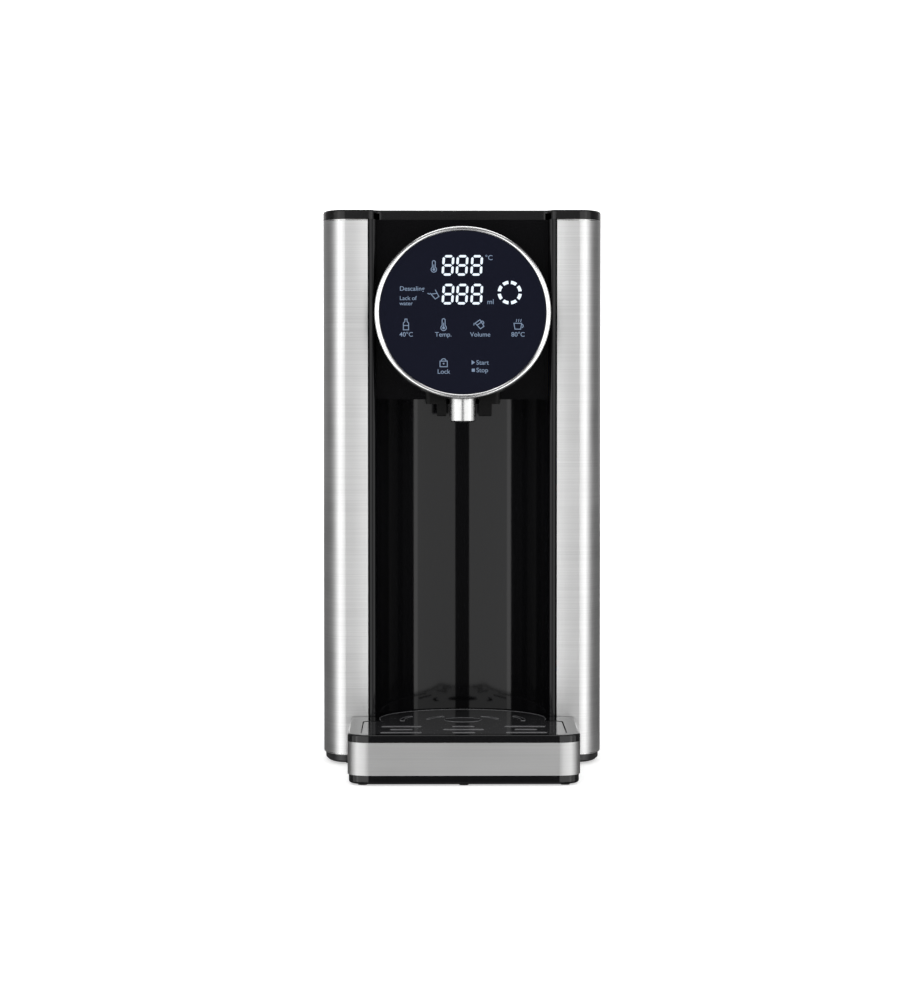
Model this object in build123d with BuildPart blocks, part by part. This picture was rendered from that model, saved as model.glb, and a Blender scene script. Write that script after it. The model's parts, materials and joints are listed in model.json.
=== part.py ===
from build123d import *
import os
from math import cos, radians, sin

# Countertop hot water dispenser, in millimetres.
# Origin: middle of the footprint, on the worktop. -Y is the front, +Z is up.

# Overall size
body_width = 191.6
overall_depth = 305
overall_height = 379
tray_reach = 107

half_width = body_width / 2
front_y = -overall_depth / 2
rear_y = overall_depth / 2
crest_y = front_y + tray_reach

# Levels above the worktop
foot_height = 1.6
steel_bottom = 7.0
shelf_top = 46
niche_ceiling = 250
steel_top = 372.5

# Steel columns, seen from above: an elliptical corner, then a face that falls back to the niche
sheet = 1.0
corner_width = 16
corner_depth = 35
crest_x = half_width - corner_width
column_edge_x = 64.5
column_edge_y = crest_y + 1.4
hem_depth = 6.6

# Walls across the body
wall = 2.5
bay_wall_y = 82
bay_y = bay_wall_y + wall
tank_rear_y = rear_y - 4
rear_corner = 22

# Niche and its lips
niche_y = crest_y - 10
niche_radius = 60.4
lip_radius = 2.4
lip_x = 61.4
lip_y = crest_y + lip_radius

# Head: flat panel, and the display tilted back above the nozzle
recess_y = crest_y + 9
panel_half_width = 58.8
display_tilt = 11
display_y = crest_y - 16.5
display_z = 309.4
ring_radius = 59.6
glass_radius = 56.3
drum_radius = 57
drum_wall = 2
bezel_depth = 6
board_depth = 11.6

# Nozzle
nozzle_y = crest_y - 12
nozzle_radius = 9
nozzle_tip = 235.0
nozzle_top = 251.6
outlet_z = 262

# Drip tray
tray_half_width = 76
tray_bottom = 1.0
band_bottom = 6.8
band_top = 28.2
tray_top = 33.3
band_gauge = 0.8
tray_corner = 14
tongue_radius = 59.2
plate_radius = 57
plate_half_width = 67
plate_rear_y = crest_y - 26
plate_thickness = 2.2
plate_hole_y = crest_y - 18

# Water path
pump_z = 33
pump_port_x = 13
heater_y = 57.5
heater_radius = 16
heater_bottom = 84
heater_top = 294
hose_wall = 1.9
spigot_radius = 4
spigot_bore = 2.5
port_rise = 33
pin_radius = 1.5
shelf_spigot_gap = 9.5
chamber_top = 285

# Tank and its valve
tank_half_width = half_width - 1.5
tank_top = 372.2
valve_y = 116
valve_body_radius = 14.9
seat_z = 37
float_x = 62
float_y = 101
hinge_y = rear_y - 2.4
hinge_z = 374.6
barrel_radius = 2.4
running_gap = 0.06

# Rear fittings
gland_x = -58
rocker_x = 55
rear_fitting_z = 26
rocker_tilt = 8

display_plane = Plane(
    origin=(0, display_y, display_z),
    x_dir=(1, 0, 0),
    z_dir=(0, -cos(radians(display_tilt)), sin(radians(display_tilt))),
)


def behind_glass(depth):
    return display_plane.offset(-depth)


def save(builder, name):
    builder.part.label = name
    export_step(builder.part, f"parts/{name}.step")


def corner_arc(inset, side):
    # quarter ellipse from the column's crest round to its flat side
    return EllipticalCenterArc(
        (side * crest_x, crest_y + corner_depth),
        corner_width - inset,
        corner_depth - inset,
        start_angle=270 if side > 0 else 180,
        arc_size=90,
    )


def column_outline(inset, back_y):
    # right column and side, from the niche edge round to back_y
    arc = corner_arc(inset, 1)
    edge = (column_edge_x + inset, column_edge_y + inset)
    TangentArc(arc @ 0, edge, tangent=(-1, 0))
    Polyline(arc @ 1, (half_width - inset, back_y), (column_edge_x + inset, back_y), edge)


def body_outline(inset, back_y, corner):
    # the whole body: both columns, a straight front between the crests, rounded rear corners
    right = corner_arc(inset, 1)
    left = corner_arc(inset, -1)
    Line(left @ 1, right @ 0)
    side = half_width - inset
    FilletPolyline(right @ 1, (side, back_y), (-side, back_y), left @ 0, radius=corner)


def cover_outline(inset, back_y):
    # like the body, but the front edge sweeps back to the recessed head panel
    right = corner_arc(inset, 1)
    left = corner_arc(inset, -1)
    shoulder = 64 - inset
    middle = 55 - inset
    shoulder_y = crest_y + inset
    middle_y = recess_y + inset
    Line(right @ 0, (shoulder, shoulder_y))
    Spline((shoulder, shoulder_y), (middle, middle_y), tangents=[(-1, 0), (-1, 0)])
    Line((middle, middle_y), (-middle, middle_y))
    Spline((-middle, middle_y), (-shoulder, shoulder_y), tangents=[(-1, 0), (-1, 0)])
    Line((-shoulder, shoulder_y), left @ 1)
    side = half_width - inset
    Polyline(right @ 1, (side, back_y), (-side, back_y), left @ 0)


def tank_outline(half, front, back, front_corner, corner):
    FilletPolyline(
        (-half, front),
        (half, front),
        (half, back),
        (-half, back),
        radius=[front_corner, front_corner, corner, corner],
        close=True,
    )


os.makedirs("parts", exist_ok=True)

# ---------------------------------------------------------------- base

base_inset = 1.4
foot_places = [(72, -30), (-72, -30), (72, 124), (-72, 124)]
foot_stem_radius = 3
screw_places = [(84, 2), (-84, 2), (84, 100), (-84, 100)]
screw_radius = 1.6
head_radius = 3.2
pan_thickness = steel_bottom - foot_height

with BuildPart() as base_pan:
    with BuildSketch(Plane.XY.offset(foot_height)):
        with BuildLine():
            body_outline(base_inset, tank_rear_y - base_inset, rear_corner)
        make_face()
    extrude(amount=pan_thickness)
    chamfer(base_pan.faces().sort_by(Axis.Z)[0].edges(), 1.2)
    with BuildSketch(Plane.XY.offset(foot_height)):
        with Locations(*foot_places):
            Circle(foot_stem_radius)
    extrude(amount=3, mode=Mode.SUBTRACT)
    with BuildSketch(Plane.XY.offset(foot_height)):
        with Locations(*screw_places):
            Circle(head_radius)
    extrude(amount=2, mode=Mode.SUBTRACT)
    with BuildSketch(Plane.XY.offset(foot_height)):
        with Locations(*screw_places):
            Circle(screw_radius)
    extrude(amount=pan_thickness, mode=Mode.SUBTRACT)
save(base_pan, "base_pan")

with BuildPart() as base_feet:
    with BuildSketch():
        with Locations(*foot_places):
            Circle(9)
    extrude(amount=foot_height)
    chamfer(base_feet.faces().group_by(Axis.Z)[0].edges(), 0.6)
    with BuildSketch(Plane.XY.offset(foot_height)):
        with Locations(*foot_places):
            Circle(foot_stem_radius)
    extrude(amount=3)
save(base_feet, "base_feet")

with BuildPart() as base_screws:
    with BuildSketch(Plane.XY.offset(foot_height)):
        with Locations(*screw_places):
            Circle(head_radius)
    extrude(amount=2)
    with BuildSketch(Plane.XY.offset(foot_height + 2)):
        with Locations(*screw_places):
            Circle(screw_radius)
    extrude(amount=14)
save(base_screws, "base_screws")

# ---------------------------------------------------------------- steel sides and what holds them

steel_height = steel_top - steel_bottom
hem_end_y = column_edge_y + hem_depth
flange_x = 80

with BuildPart() as right_side_panel:
    with BuildSketch(Plane.XY.offset(steel_bottom)):
        with BuildLine():
            column_outline(0, bay_wall_y)
        make_face()
        with BuildLine():
            column_outline(sheet, bay_wall_y - sheet)
        make_face(mode=Mode.SUBTRACT)
        with Locations(((column_edge_x + flange_x) / 2, (hem_end_y + bay_wall_y) / 2)):
            Rectangle(flange_x - column_edge_x, bay_wall_y - hem_end_y, mode=Mode.SUBTRACT)
    extrude(amount=steel_height)
save(right_side_panel, "right_side_panel")

with BuildPart() as left_side_panel:
    mirror(right_side_panel.part, about=Plane.YZ)
save(left_side_panel, "left_side_panel")

bracket_width = 20
bracket_height = 22
bracket_levels = (steel_bottom, steel_top - bracket_height)
bracket_x = half_width - sheet - bracket_width / 2
with BuildPart() as panel_brackets:
    for level in bracket_levels:
        with BuildSketch(Plane.XY.offset(level)):
            for centre_y in (2, 70):
                with Locations((bracket_x, centre_y), (-bracket_x, centre_y)):
                    Rectangle(bracket_width, 22)
        extrude(amount=bracket_height)
    with BuildSketch(Plane.XY.offset(steel_bottom)):
        with Locations(*screw_places):
            Circle(screw_radius)
    extrude(amount=14, mode=Mode.SUBTRACT)
save(panel_brackets, "panel_brackets")

with BuildPart() as bay_wall:
    with BuildSketch(Plane.XY.offset(steel_bottom)):
        with Locations((0, bay_wall_y + wall / 2)):
            Rectangle(2 * (half_width - 1.2), wall)
    extrude(amount=steel_height)
    with BuildSketch(Plane.XZ.offset(-bay_wall_y - wall)):
        with Locations((0, pump_z)):
            Circle(7)
    extrude(amount=wall, mode=Mode.SUBTRACT)
save(bay_wall, "bay_wall")

# ---------------------------------------------------------------- niche and head

with BuildPart() as niche_liner:
    with BuildSketch(Plane.XY.offset(steel_bottom)):
        with Locations((0, niche_y)):
            Circle(niche_radius + wall)
            Circle(niche_radius, mode=Mode.SUBTRACT)
        with Locations((0, lip_y - niche_radius)):
            Rectangle(3 * niche_radius, 2 * niche_radius, mode=Mode.SUBTRACT)
    extrude(amount=niche_ceiling - steel_bottom)
    with BuildSketch(Plane.XY.offset(steel_bottom)):
        with Locations((lip_x, lip_y), (-lip_x, lip_y)):
            Circle(lip_radius)
        with Locations((lip_x, lip_y + 3), (-lip_x, lip_y + 3)):
            Rectangle(2 * lip_radius, 6)
    extrude(amount=steel_height)
save(niche_liner, "niche_liner")

panel_gauge = 2.5
with BuildPart() as niche_roof:
    with BuildSketch(Plane.XY.offset(niche_ceiling)):
        with Locations((0, niche_y)):
            Circle(niche_radius + wall)
        with Locations((0, recess_y + panel_gauge - niche_radius)):
            Rectangle(3 * niche_radius, 2 * niche_radius, mode=Mode.SUBTRACT)
    extrude(amount=wall)
save(niche_roof, "niche_roof")

boss_places = [(-40, 12), (40, 12), (0, 44)]
with BuildPart() as head_front_panel:
    with BuildSketch(Plane.XZ.offset(-recess_y)):
        with Locations(*[(x, display_z + up) for x, up in boss_places]):
            Circle(3)
    extrude(amount=40)
    split(bisect_by=behind_glass(board_depth), keep=Keep.BOTTOM)
    with BuildSketch(Plane.XZ.offset(-recess_y - panel_gauge)):
        with Locations((0, (niche_ceiling + steel_top) / 2)):
            Rectangle(2 * panel_half_width, steel_top - niche_ceiling)
    extrude(amount=panel_gauge)
    with BuildSketch(Plane.XZ.offset(-recess_y - panel_gauge)):
        with Locations((0, outlet_z)):
            Circle(spigot_radius + hose_wall)
        with Locations((0, display_z)):
            Rectangle(30, 12)
    extrude(amount=panel_gauge, mode=Mode.SUBTRACT)
save(head_front_panel, "head_front_panel")

neck_radius = 4.5
with BuildPart() as display_housing:
    with BuildSketch(Plane.XZ.offset(-recess_y)):
        with Locations((0, display_z)):
            Circle(drum_radius)
            Circle(drum_radius - drum_wall, mode=Mode.SUBTRACT)
    extrude(amount=60)
    split(bisect_by=behind_glass(bezel_depth), keep=Keep.BOTTOM)
    with BuildSketch(Plane.XY.offset(nozzle_top - 2)):
        with Locations((0, nozzle_y)):
            Circle(neck_radius + 0.1)
    extrude(amount=8, mode=Mode.SUBTRACT)
save(display_housing, "display_housing")

seat_radius = 54
glass_thickness = 2
glass_face = 1.2
ring_plane = Plane(
    origin=display_plane.origin,
    x_dir=display_plane.x_dir,
    z_dir=display_plane.x_dir.cross(display_plane.z_dir),
)
with BuildPart() as display_bezel:
    with BuildSketch(ring_plane):
        with BuildLine():
            ThreePointArc((ring_radius, -1.8), (58.1, 0), (glass_radius + 0.1, -glass_face))
            Polyline(
                (glass_radius + 0.1, -glass_face),
                (glass_radius + 0.1, -glass_face - glass_thickness),
                (seat_radius, -glass_face - glass_thickness),
                (seat_radius, -bezel_depth),
                (ring_radius - 1, -bezel_depth),
                (ring_radius, -bezel_depth + 1),
                (ring_radius, -1.8),
            )
        make_face()
    revolve(axis=Axis(display_plane.origin, display_plane.z_dir))
save(display_bezel, "display_bezel")

glass_back = glass_face + glass_thickness
with BuildPart() as display_glass:
    with BuildSketch(behind_glass(glass_back)):
        Circle(glass_radius)
    extrude(amount=glass_thickness)
save(display_glass, "display_glass")

board_gauge = 1.6
board_front = board_depth - board_gauge
with BuildPart() as display_board:
    with BuildSketch(behind_glass(board_depth)):
        Circle(53)
        with Locations((0, -50)):
            Rectangle(110, 24, mode=Mode.SUBTRACT)
    extrude(amount=board_gauge)
save(display_board, "display_board")

with BuildPart() as led_module:
    with BuildSketch(behind_glass(board_front)):
        with Locations((0, 21)):
            RectangleRounded(60, 38, 2)
    extrude(amount=board_front - glass_back - 0.3)
save(led_module, "led_module")

key_places = [(-38, -10), (-13, -10), (12, -10), (37, -10), (-13, -33), (12, -33)]
with BuildPart() as touch_springs:
    with BuildSketch(behind_glass(board_front)):
        with Locations(*key_places):
            Circle(3)
            Circle(2.2, mode=Mode.SUBTRACT)
    extrude(amount=board_front - glass_back)
save(touch_springs, "touch_springs")

# ---------------------------------------------------------------- nozzle and steam chamber

chamber_front_y = recess_y + panel_gauge + 2
chamber_length = 30
chamber_y = chamber_front_y + chamber_length / 2
chamber_floor = niche_ceiling + wall
spigot_front_y = nozzle_y + 15
chamber_spigot_y = recess_y - 6

with BuildPart() as nozzle:
    with BuildSketch(Plane.XY.offset(nozzle_tip)):
        with Locations((0, nozzle_y)):
            Circle(nozzle_radius)
    extrude(amount=nozzle_top - nozzle_tip)
    chamfer(nozzle.faces().sort_by(Axis.Z)[0].edges(), 0.8)
    with BuildSketch(Plane.XY.offset(nozzle_top)):
        with Locations((0, nozzle_y)):
            Circle(neck_radius)
    extrude(amount=outlet_z + neck_radius - nozzle_top)
    with BuildSketch(Plane.XZ.offset(-nozzle_y)):
        with Locations((0, outlet_z)):
            Circle(spigot_radius)
    extrude(amount=nozzle_y - spigot_front_y)
    with BuildSketch(Plane.XZ.offset(-nozzle_y)):
        with Locations((0, outlet_z)):
            Circle(spigot_bore)
    extrude(amount=nozzle_y - spigot_front_y, mode=Mode.SUBTRACT)
    with BuildSketch(Plane.XY.offset(nozzle_tip)):
        with Locations((0, nozzle_y)):
            Circle(spigot_bore)
    extrude(amount=outlet_z - nozzle_tip, mode=Mode.SUBTRACT)
    with BuildSketch(Plane.XY.offset(nozzle_tip)):
        with Locations((0, nozzle_y)):
            Circle(5.5)
    extrude(amount=8, mode=Mode.SUBTRACT)
save(nozzle, "nozzle")

guard_step = 247
guard_bottom = 238.8
guard_lugs = ((-17.5, -11), (10.8, 19.6))
with BuildPart() as nozzle_guard:
    with BuildSketch(Plane.XY.offset(guard_step)):
        with Locations((0, nozzle_y + 7)):
            RectangleRounded(50, 18, 3)
        with Locations((0, nozzle_y)):
            Circle(nozzle_radius + 2.2, mode=Mode.SUBTRACT)
        with Locations((0, nozzle_y - 8)):
            Rectangle(2 * nozzle_radius + 4.4, 16, mode=Mode.SUBTRACT)
    extrude(amount=20)
    with BuildSketch(Plane.XY.offset(guard_bottom)):
        for lug_start, lug_end in guard_lugs:
            with Locations(((lug_start + lug_end) / 2, nozzle_y + 5)):
                Rectangle(lug_end - lug_start, 12)
    extrude(amount=guard_step - guard_bottom)
    fillet(nozzle_guard.faces().filter_by(Axis.Z).group_by(Axis.Z)[0].edges(), 0.8)
    with BuildSketch(Plane.XZ.offset(-recess_y)):
        with Locations((0, display_z)):
            Circle(drum_radius)
    extrude(amount=60, mode=Mode.SUBTRACT)
save(nozzle_guard, "nozzle_guard")

with BuildPart() as steam_chamber:
    with BuildSketch(Plane.XY.offset(chamber_floor)):
        with Locations((0, chamber_y)):
            RectangleRounded(52, chamber_length, 4)
    extrude(amount=chamber_top - chamber_floor)
    with BuildSketch(Plane.XZ.offset(-chamber_y)):
        with Locations((0, outlet_z)):
            Circle(spigot_radius)
    extrude(amount=chamber_y - chamber_spigot_y)
    with BuildSketch(Plane.XY.offset(chamber_top)):
        with Locations((pump_port_x, chamber_y)):
            Circle(spigot_radius)
    extrude(amount=11)
    with BuildSketch(Plane.XY.offset(chamber_floor + 2)):
        with Locations((0, chamber_y)):
            RectangleRounded(48, chamber_length - 4, 2)
    extrude(amount=chamber_top - chamber_floor - 4, mode=Mode.SUBTRACT)
    with BuildSketch(Plane.XZ.offset(-chamber_y)):
        with Locations((0, outlet_z)):
            Circle(spigot_bore)
    extrude(amount=chamber_y - chamber_spigot_y, mode=Mode.SUBTRACT)
    with BuildSketch(Plane.XY.offset(chamber_top - 4)):
        with Locations((pump_port_x, chamber_y)):
            Circle(spigot_bore)
    extrude(amount=15, mode=Mode.SUBTRACT)
save(steam_chamber, "steam_chamber")

hose_bore = spigot_radius + 0.05
hose_radius = spigot_radius + hose_wall
with BuildPart() as nozzle_hose:
    with BuildSketch(Plane.XZ.offset(-chamber_front_y + 0.5)):
        with Locations((0, outlet_z)):
            Circle(hose_radius)
            Circle(hose_bore, mode=Mode.SUBTRACT)
    extrude(amount=chamber_front_y - nozzle_y - 6)
save(nozzle_hose, "nozzle_hose")

# ---------------------------------------------------------------- pump

motor_radius = 17
volute_radius = 22
volute_front_y = 50
volute_back_y = 64
cover_back_y = volute_back_y + wall
motor_front_y = 16
rotor_gap_y = volute_front_y + wall

with BuildPart() as pump_mount:
    with BuildSketch(Plane.XY.offset(steel_bottom)):
        with Locations((0, 34)):
            Rectangle(40, 24)
    extrude(amount=15)
    with BuildSketch(Plane.XZ.offset(-motor_front_y)):
        with Locations((0, pump_z)):
            Circle(motor_radius)
    extrude(amount=-(volute_front_y - motor_front_y), mode=Mode.SUBTRACT)
save(pump_mount, "pump_mount")

with BuildPart() as pump_motor:
    with BuildSketch(Plane.XZ.offset(-motor_front_y)):
        with Locations((0, pump_z)):
            Circle(motor_radius)
    extrude(amount=-(volute_front_y - motor_front_y))
    chamfer(pump_motor.faces().sort_by(Axis.Y)[0].edges(), 1)
save(pump_motor, "pump_motor")

with BuildPart() as pump_housing:
    with BuildSketch(Plane.XZ.offset(-volute_front_y)):
        with Locations((0, pump_z)):
            Circle(volute_radius)
    extrude(amount=-(volute_back_y - volute_front_y))
    with BuildSketch(Plane.XY.offset(pump_z)):
        with Locations((pump_port_x, heater_y)):
            Circle(spigot_radius)
    extrude(amount=port_rise)
    with BuildSketch(Plane.XZ.offset(-rotor_gap_y)):
        with Locations((0, pump_z)):
            Circle(volute_radius - wall)
    extrude(amount=-(volute_back_y - rotor_gap_y), mode=Mode.SUBTRACT)
    with BuildSketch(Plane.XY.offset(pump_z)):
        with Locations((pump_port_x, heater_y)):
            Circle(spigot_bore)
    extrude(amount=port_rise, mode=Mode.SUBTRACT)
    with BuildSketch(Plane.XZ.offset(-volute_front_y - 1)):
        with Locations((0, pump_z)):
            Circle(pin_radius)
    extrude(amount=-wall, mode=Mode.SUBTRACT)
save(pump_housing, "pump_housing")

with BuildPart() as pump_cover:
    with BuildSketch(Plane.XZ.offset(-volute_back_y)):
        with Locations((0, pump_z)):
            Circle(volute_radius)
    extrude(amount=-wall)
    with BuildSketch(Plane.XZ.offset(-cover_back_y)):
        with Locations((0, pump_z)):
            Circle(spigot_radius)
    extrude(amount=-8)
    with BuildSketch(Plane.XZ.offset(-volute_back_y)):
        with Locations((0, pump_z)):
            Circle(spigot_bore)
    extrude(amount=-12, mode=Mode.SUBTRACT)
save(pump_cover, "pump_cover")

with BuildPart() as pump_axle:
    with BuildSketch(Plane.XZ.offset(-volute_front_y - 1)):
        with Locations((0, pump_z)):
            Circle(pin_radius)
    extrude(amount=-12)
save(pump_axle, "pump_axle")

vane_count = 6
with BuildPart() as pump_impeller:
    with BuildSketch(Plane.XZ.offset(-rotor_gap_y - 1)):
        with Locations((0, pump_z)):
            Circle(17)
    extrude(amount=-2)
    with BuildSketch(Plane.XZ.offset(-rotor_gap_y - 3)):
        with Locations((0, pump_z)):
            Circle(4)
            with PolarLocations(10, vane_count):
                Rectangle(13, 1.4)
    extrude(amount=-6)
    with BuildSketch(Plane.XZ.offset(-rotor_gap_y - 1)):
        with Locations((0, pump_z)):
            Circle(pin_radius + running_gap)
    extrude(amount=-8, mode=Mode.SUBTRACT)
save(pump_impeller, "pump_impeller")

cup_y = valve_y
cup_radius = 18
cup_wall = 2.5
inlet_hose_end = bay_y + 6
with BuildPart() as inlet_hose:
    with BuildSketch(Plane.XZ.offset(-cover_back_y - 0.5)):
        with Locations((0, pump_z)):
            Circle(hose_radius)
            Circle(hose_bore, mode=Mode.SUBTRACT)
    extrude(amount=-(inlet_hose_end - cover_back_y))
save(inlet_hose, "inlet_hose")

# ---------------------------------------------------------------- heater

cap_height = 8
heater_port = 10
with BuildPart() as heater_tube:
    with BuildSketch(Plane.XY.offset(heater_bottom)):
        with Locations((pump_port_x, heater_y)):
            Circle(heater_radius)
            Circle(heater_radius - 1.2, mode=Mode.SUBTRACT)
    extrude(amount=heater_top - heater_bottom)
save(heater_tube, "heater_tube")

with BuildPart() as heater_caps:
    for level, direction in ((heater_bottom, -1), (heater_top, 1)):
        with BuildSketch(Plane.XY.offset(level)):
            with Locations((pump_port_x, heater_y)):
                Circle(heater_radius + 1)
        extrude(amount=direction * cap_height)
        with BuildSketch(Plane.XY.offset(level + direction * cap_height)):
            with Locations((pump_port_x, heater_y)):
                Circle(spigot_radius)
        extrude(amount=direction * heater_port)
        with BuildSketch(Plane.XY.offset(level + direction * 2)):
            with Locations((pump_port_x, heater_y)):
                Circle(spigot_bore)
        extrude(amount=direction * (cap_height + heater_port), mode=Mode.SUBTRACT)
save(heater_caps, "heater_caps")

with BuildPart() as heater_element:
    with BuildSketch(Plane.XY.offset(heater_bottom)):
        with Locations((pump_port_x, heater_y)):
            Circle(6)
    extrude(amount=heater_top - heater_bottom)
save(heater_element, "heater_element")

clip_gauge = 1.5
with BuildPart() as heater_clips:
    for level in (120, 250):
        with BuildSketch(Plane.XY.offset(level)):
            with Locations((pump_port_x, heater_y)):
                Circle(heater_radius + clip_gauge)
                Circle(heater_radius + 0.02, mode=Mode.SUBTRACT)
            with Locations((pump_port_x, (heater_y + heater_radius + 0.8 + bay_wall_y) / 2)):
                Rectangle(3, bay_wall_y - heater_y - heater_radius - 0.8)
            with Locations((pump_port_x, bay_wall_y - 0.75)):
                Rectangle(30, clip_gauge)
        extrude(amount=12)
save(heater_clips, "heater_clips")

with BuildPart() as thermal_cutout:
    with BuildSketch(Plane.XZ.offset(-heater_y + heater_radius + 0.05)):
        with Locations((pump_port_x, 190)):
            Circle(8)
    extrude(amount=4)
    with BuildSketch(Plane.XZ.offset(-heater_y + heater_radius + 4.05)):
        with Locations((pump_port_x - 4, 190), (pump_port_x + 4, 190)):
            Rectangle(2, 6)
    extrude(amount=5)
save(thermal_cutout, "thermal_cutout")

with BuildPart() as temp_sensor:
    with BuildSketch(Plane.YZ.offset(pump_port_x + heater_radius + 1)):
        with Locations((heater_y, heater_top + cap_height / 2)):
            RegularPolygon(4, 6)
    extrude(amount=5)
    with BuildSketch(Plane.YZ.offset(pump_port_x + heater_radius + 6)):
        with Locations((heater_y, heater_top + cap_height / 2)):
            Circle(pin_radius)
    extrude(amount=14)
save(temp_sensor, "temp_sensor")

with BuildPart() as pump_hose:
    with BuildSketch(Plane.XY.offset(pump_z + volute_radius + 1)):
        with Locations((pump_port_x, heater_y)):
            Circle(hose_radius)
            Circle(hose_bore, mode=Mode.SUBTRACT)
    extrude(amount=heater_bottom - cap_height - pump_z - volute_radius - 1.5)
save(pump_hose, "pump_hose")

hose_bottom = heater_top + cap_height + 0.5
hose_arch = 330
hose_bend = 14
with BuildPart() as outlet_hose:
    with BuildLine():
        FilletPolyline(
            (pump_port_x, heater_y, hose_bottom),
            (pump_port_x, heater_y, hose_arch),
            (pump_port_x, chamber_y, hose_arch),
            (pump_port_x, chamber_y, chamber_top + 0.5),
            radius=hose_bend,
        )
    with BuildSketch(Plane.XY.offset(hose_bottom)):
        with Locations((pump_port_x, heater_y)):
            Circle(hose_radius)
            Circle(hose_bore, mode=Mode.SUBTRACT)
    sweep()
save(outlet_hose, "outlet_hose")

# ---------------------------------------------------------------- power board

board_x = 84
board_back_y = 58
board_front_y = -8
board_floor = 70
board_top = 200
with BuildPart() as power_board:
    with BuildSketch(Plane.YZ.offset(board_x)):
        with Locations(((board_front_y + board_back_y) / 2, (board_floor + board_top) / 2)):
            Rectangle(board_back_y - board_front_y, board_top - board_floor)
    extrude(amount=board_gauge)
    with BuildSketch(Plane.YZ.offset(board_x + board_gauge)):
        for level in (board_floor + 6, board_top - 6):
            with Locations((board_front_y + 6, level), (board_back_y - 6, level)):
                Circle(3.5)
    extrude(amount=half_width - sheet - board_x - board_gauge)
save(power_board, "power_board")

with BuildPart() as power_components:
    with BuildSketch(Plane.YZ.offset(board_x)):
        with Locations((8, 92)):
            Rectangle(26, 30)
        with Locations((40, 88)):
            Rectangle(18, 20)
        with Locations((8, 150), (26, 150)):
            Circle(7)
    extrude(amount=-18)
    with BuildSketch(Plane.YZ.offset(board_x)):
        for row in range(3):
            with Locations((46, 124 + 16 * row)):
                Rectangle(12, 12)
        with Locations((12, 184)):
            Rectangle(30, 12)
    extrude(amount=-10)
    with BuildSketch(Plane.YZ.offset(board_x)):
        for fin in range(5):
            with Locations((4 + 6 * fin, 122)):
                Rectangle(2, 24)
    extrude(amount=-22)
    with BuildSketch(Plane.YZ.offset(board_x)):
        with Locations((16, 122)):
            Rectangle(28, 24)
    extrude(amount=-3)
save(power_components, "power_components")

with BuildPart() as level_sensor:
    with BuildSketch(Plane.XZ.offset(-bay_wall_y)):
        with Locations((float_x, 66)):
            Rectangle(16, 20)
    extrude(amount=6)
save(level_sensor, "level_sensor")

# ---------------------------------------------------------------- tank shelf and rear fittings

shelf_height = shelf_top - steel_bottom
cup_floor = 22
with BuildPart() as tank_shelf:
    with BuildSketch(Plane.XY.offset(steel_bottom)):
        with BuildLine():
            tank_outline(tank_half_width, bay_y, tank_rear_y, 1, rear_corner)
        make_face()
    extrude(amount=shelf_height)
    with BuildSketch(Plane.XY.offset(steel_bottom)):
        with BuildLine():
            tank_outline(tank_half_width - wall, bay_y + wall, tank_rear_y - wall, 1, rear_corner - wall)
        make_face()
    extrude(amount=shelf_height - wall, mode=Mode.SUBTRACT)
    with BuildSketch(Plane.XY.offset(steel_bottom)):
        with Locations((screw_places[2][0], screw_places[2][1]), (screw_places[3][0], screw_places[3][1])):
            Circle(5)
            Circle(screw_radius, mode=Mode.SUBTRACT)
    extrude(amount=shelf_height - wall)
    with BuildSketch(Plane.XY.offset(cup_floor)):
        with Locations((0, cup_y)):
            Circle(cup_radius + cup_wall)
    extrude(amount=shelf_top - cup_floor)
    with BuildSketch(Plane.XZ.offset(-cover_back_y - shelf_spigot_gap)):
        with Locations((0, pump_z)):
            Circle(spigot_radius)
    extrude(amount=-(cup_y - cover_back_y - shelf_spigot_gap))
    with BuildSketch(Plane.XY.offset(cup_floor + cup_wall)):
        with Locations((0, cup_y)):
            Circle(cup_radius)
    extrude(amount=shelf_top - cup_floor - cup_wall, mode=Mode.SUBTRACT)
    with BuildSketch(Plane.XZ.offset(-cover_back_y - shelf_spigot_gap)):
        with Locations((0, pump_z)):
            Circle(spigot_bore)
    extrude(amount=-(cup_y - cover_back_y - shelf_spigot_gap), mode=Mode.SUBTRACT)
    with BuildSketch(Plane.XZ.offset(-bay_y - wall)):
        with Locations((0, pump_z)):
            Circle(hose_radius + 0.3)
            Circle(spigot_radius, mode=Mode.SUBTRACT)
    extrude(amount=wall, mode=Mode.SUBTRACT)
    with BuildSketch(Plane.XY.offset(cup_floor + cup_wall)):
        with Locations((0, cup_y)):
            Circle(2)
    extrude(amount=32 - cup_floor - cup_wall)
    with BuildSketch(Plane.XZ.offset(-tank_rear_y)):
        with Locations((gland_x, rear_fitting_z)):
            Circle(6.5)
        with Locations((rocker_x, rear_fitting_z)):
            Rectangle(21, 15)
    extrude(amount=wall, mode=Mode.SUBTRACT)
save(tank_shelf, "tank_shelf")

with BuildPart() as cup_seal:
    with BuildSketch(Plane.XY.offset(40)):
        with Locations((0, cup_y)):
            Circle(cup_radius)
            Circle(valve_body_radius + 0.4, mode=Mode.SUBTRACT)
    extrude(amount=3)
save(cup_seal, "cup_seal")

with BuildPart() as cord_gland:
    with BuildSketch(Plane.XZ.offset(-tank_rear_y)):
        with Locations((gland_x, rear_fitting_z)):
            Circle(9)
    extrude(amount=-3)
    with BuildSketch(Plane.XZ.offset(-tank_rear_y)):
        with Locations((gland_x, rear_fitting_z)):
            Circle(6.5)
    extrude(amount=9)
    with BuildSketch(Plane.XZ.offset(-tank_rear_y - 3)):
        with Locations((gland_x, rear_fitting_z)):
            Circle(3.5)
    extrude(amount=12, mode=Mode.SUBTRACT)
save(cord_gland, "cord_gland")

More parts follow.
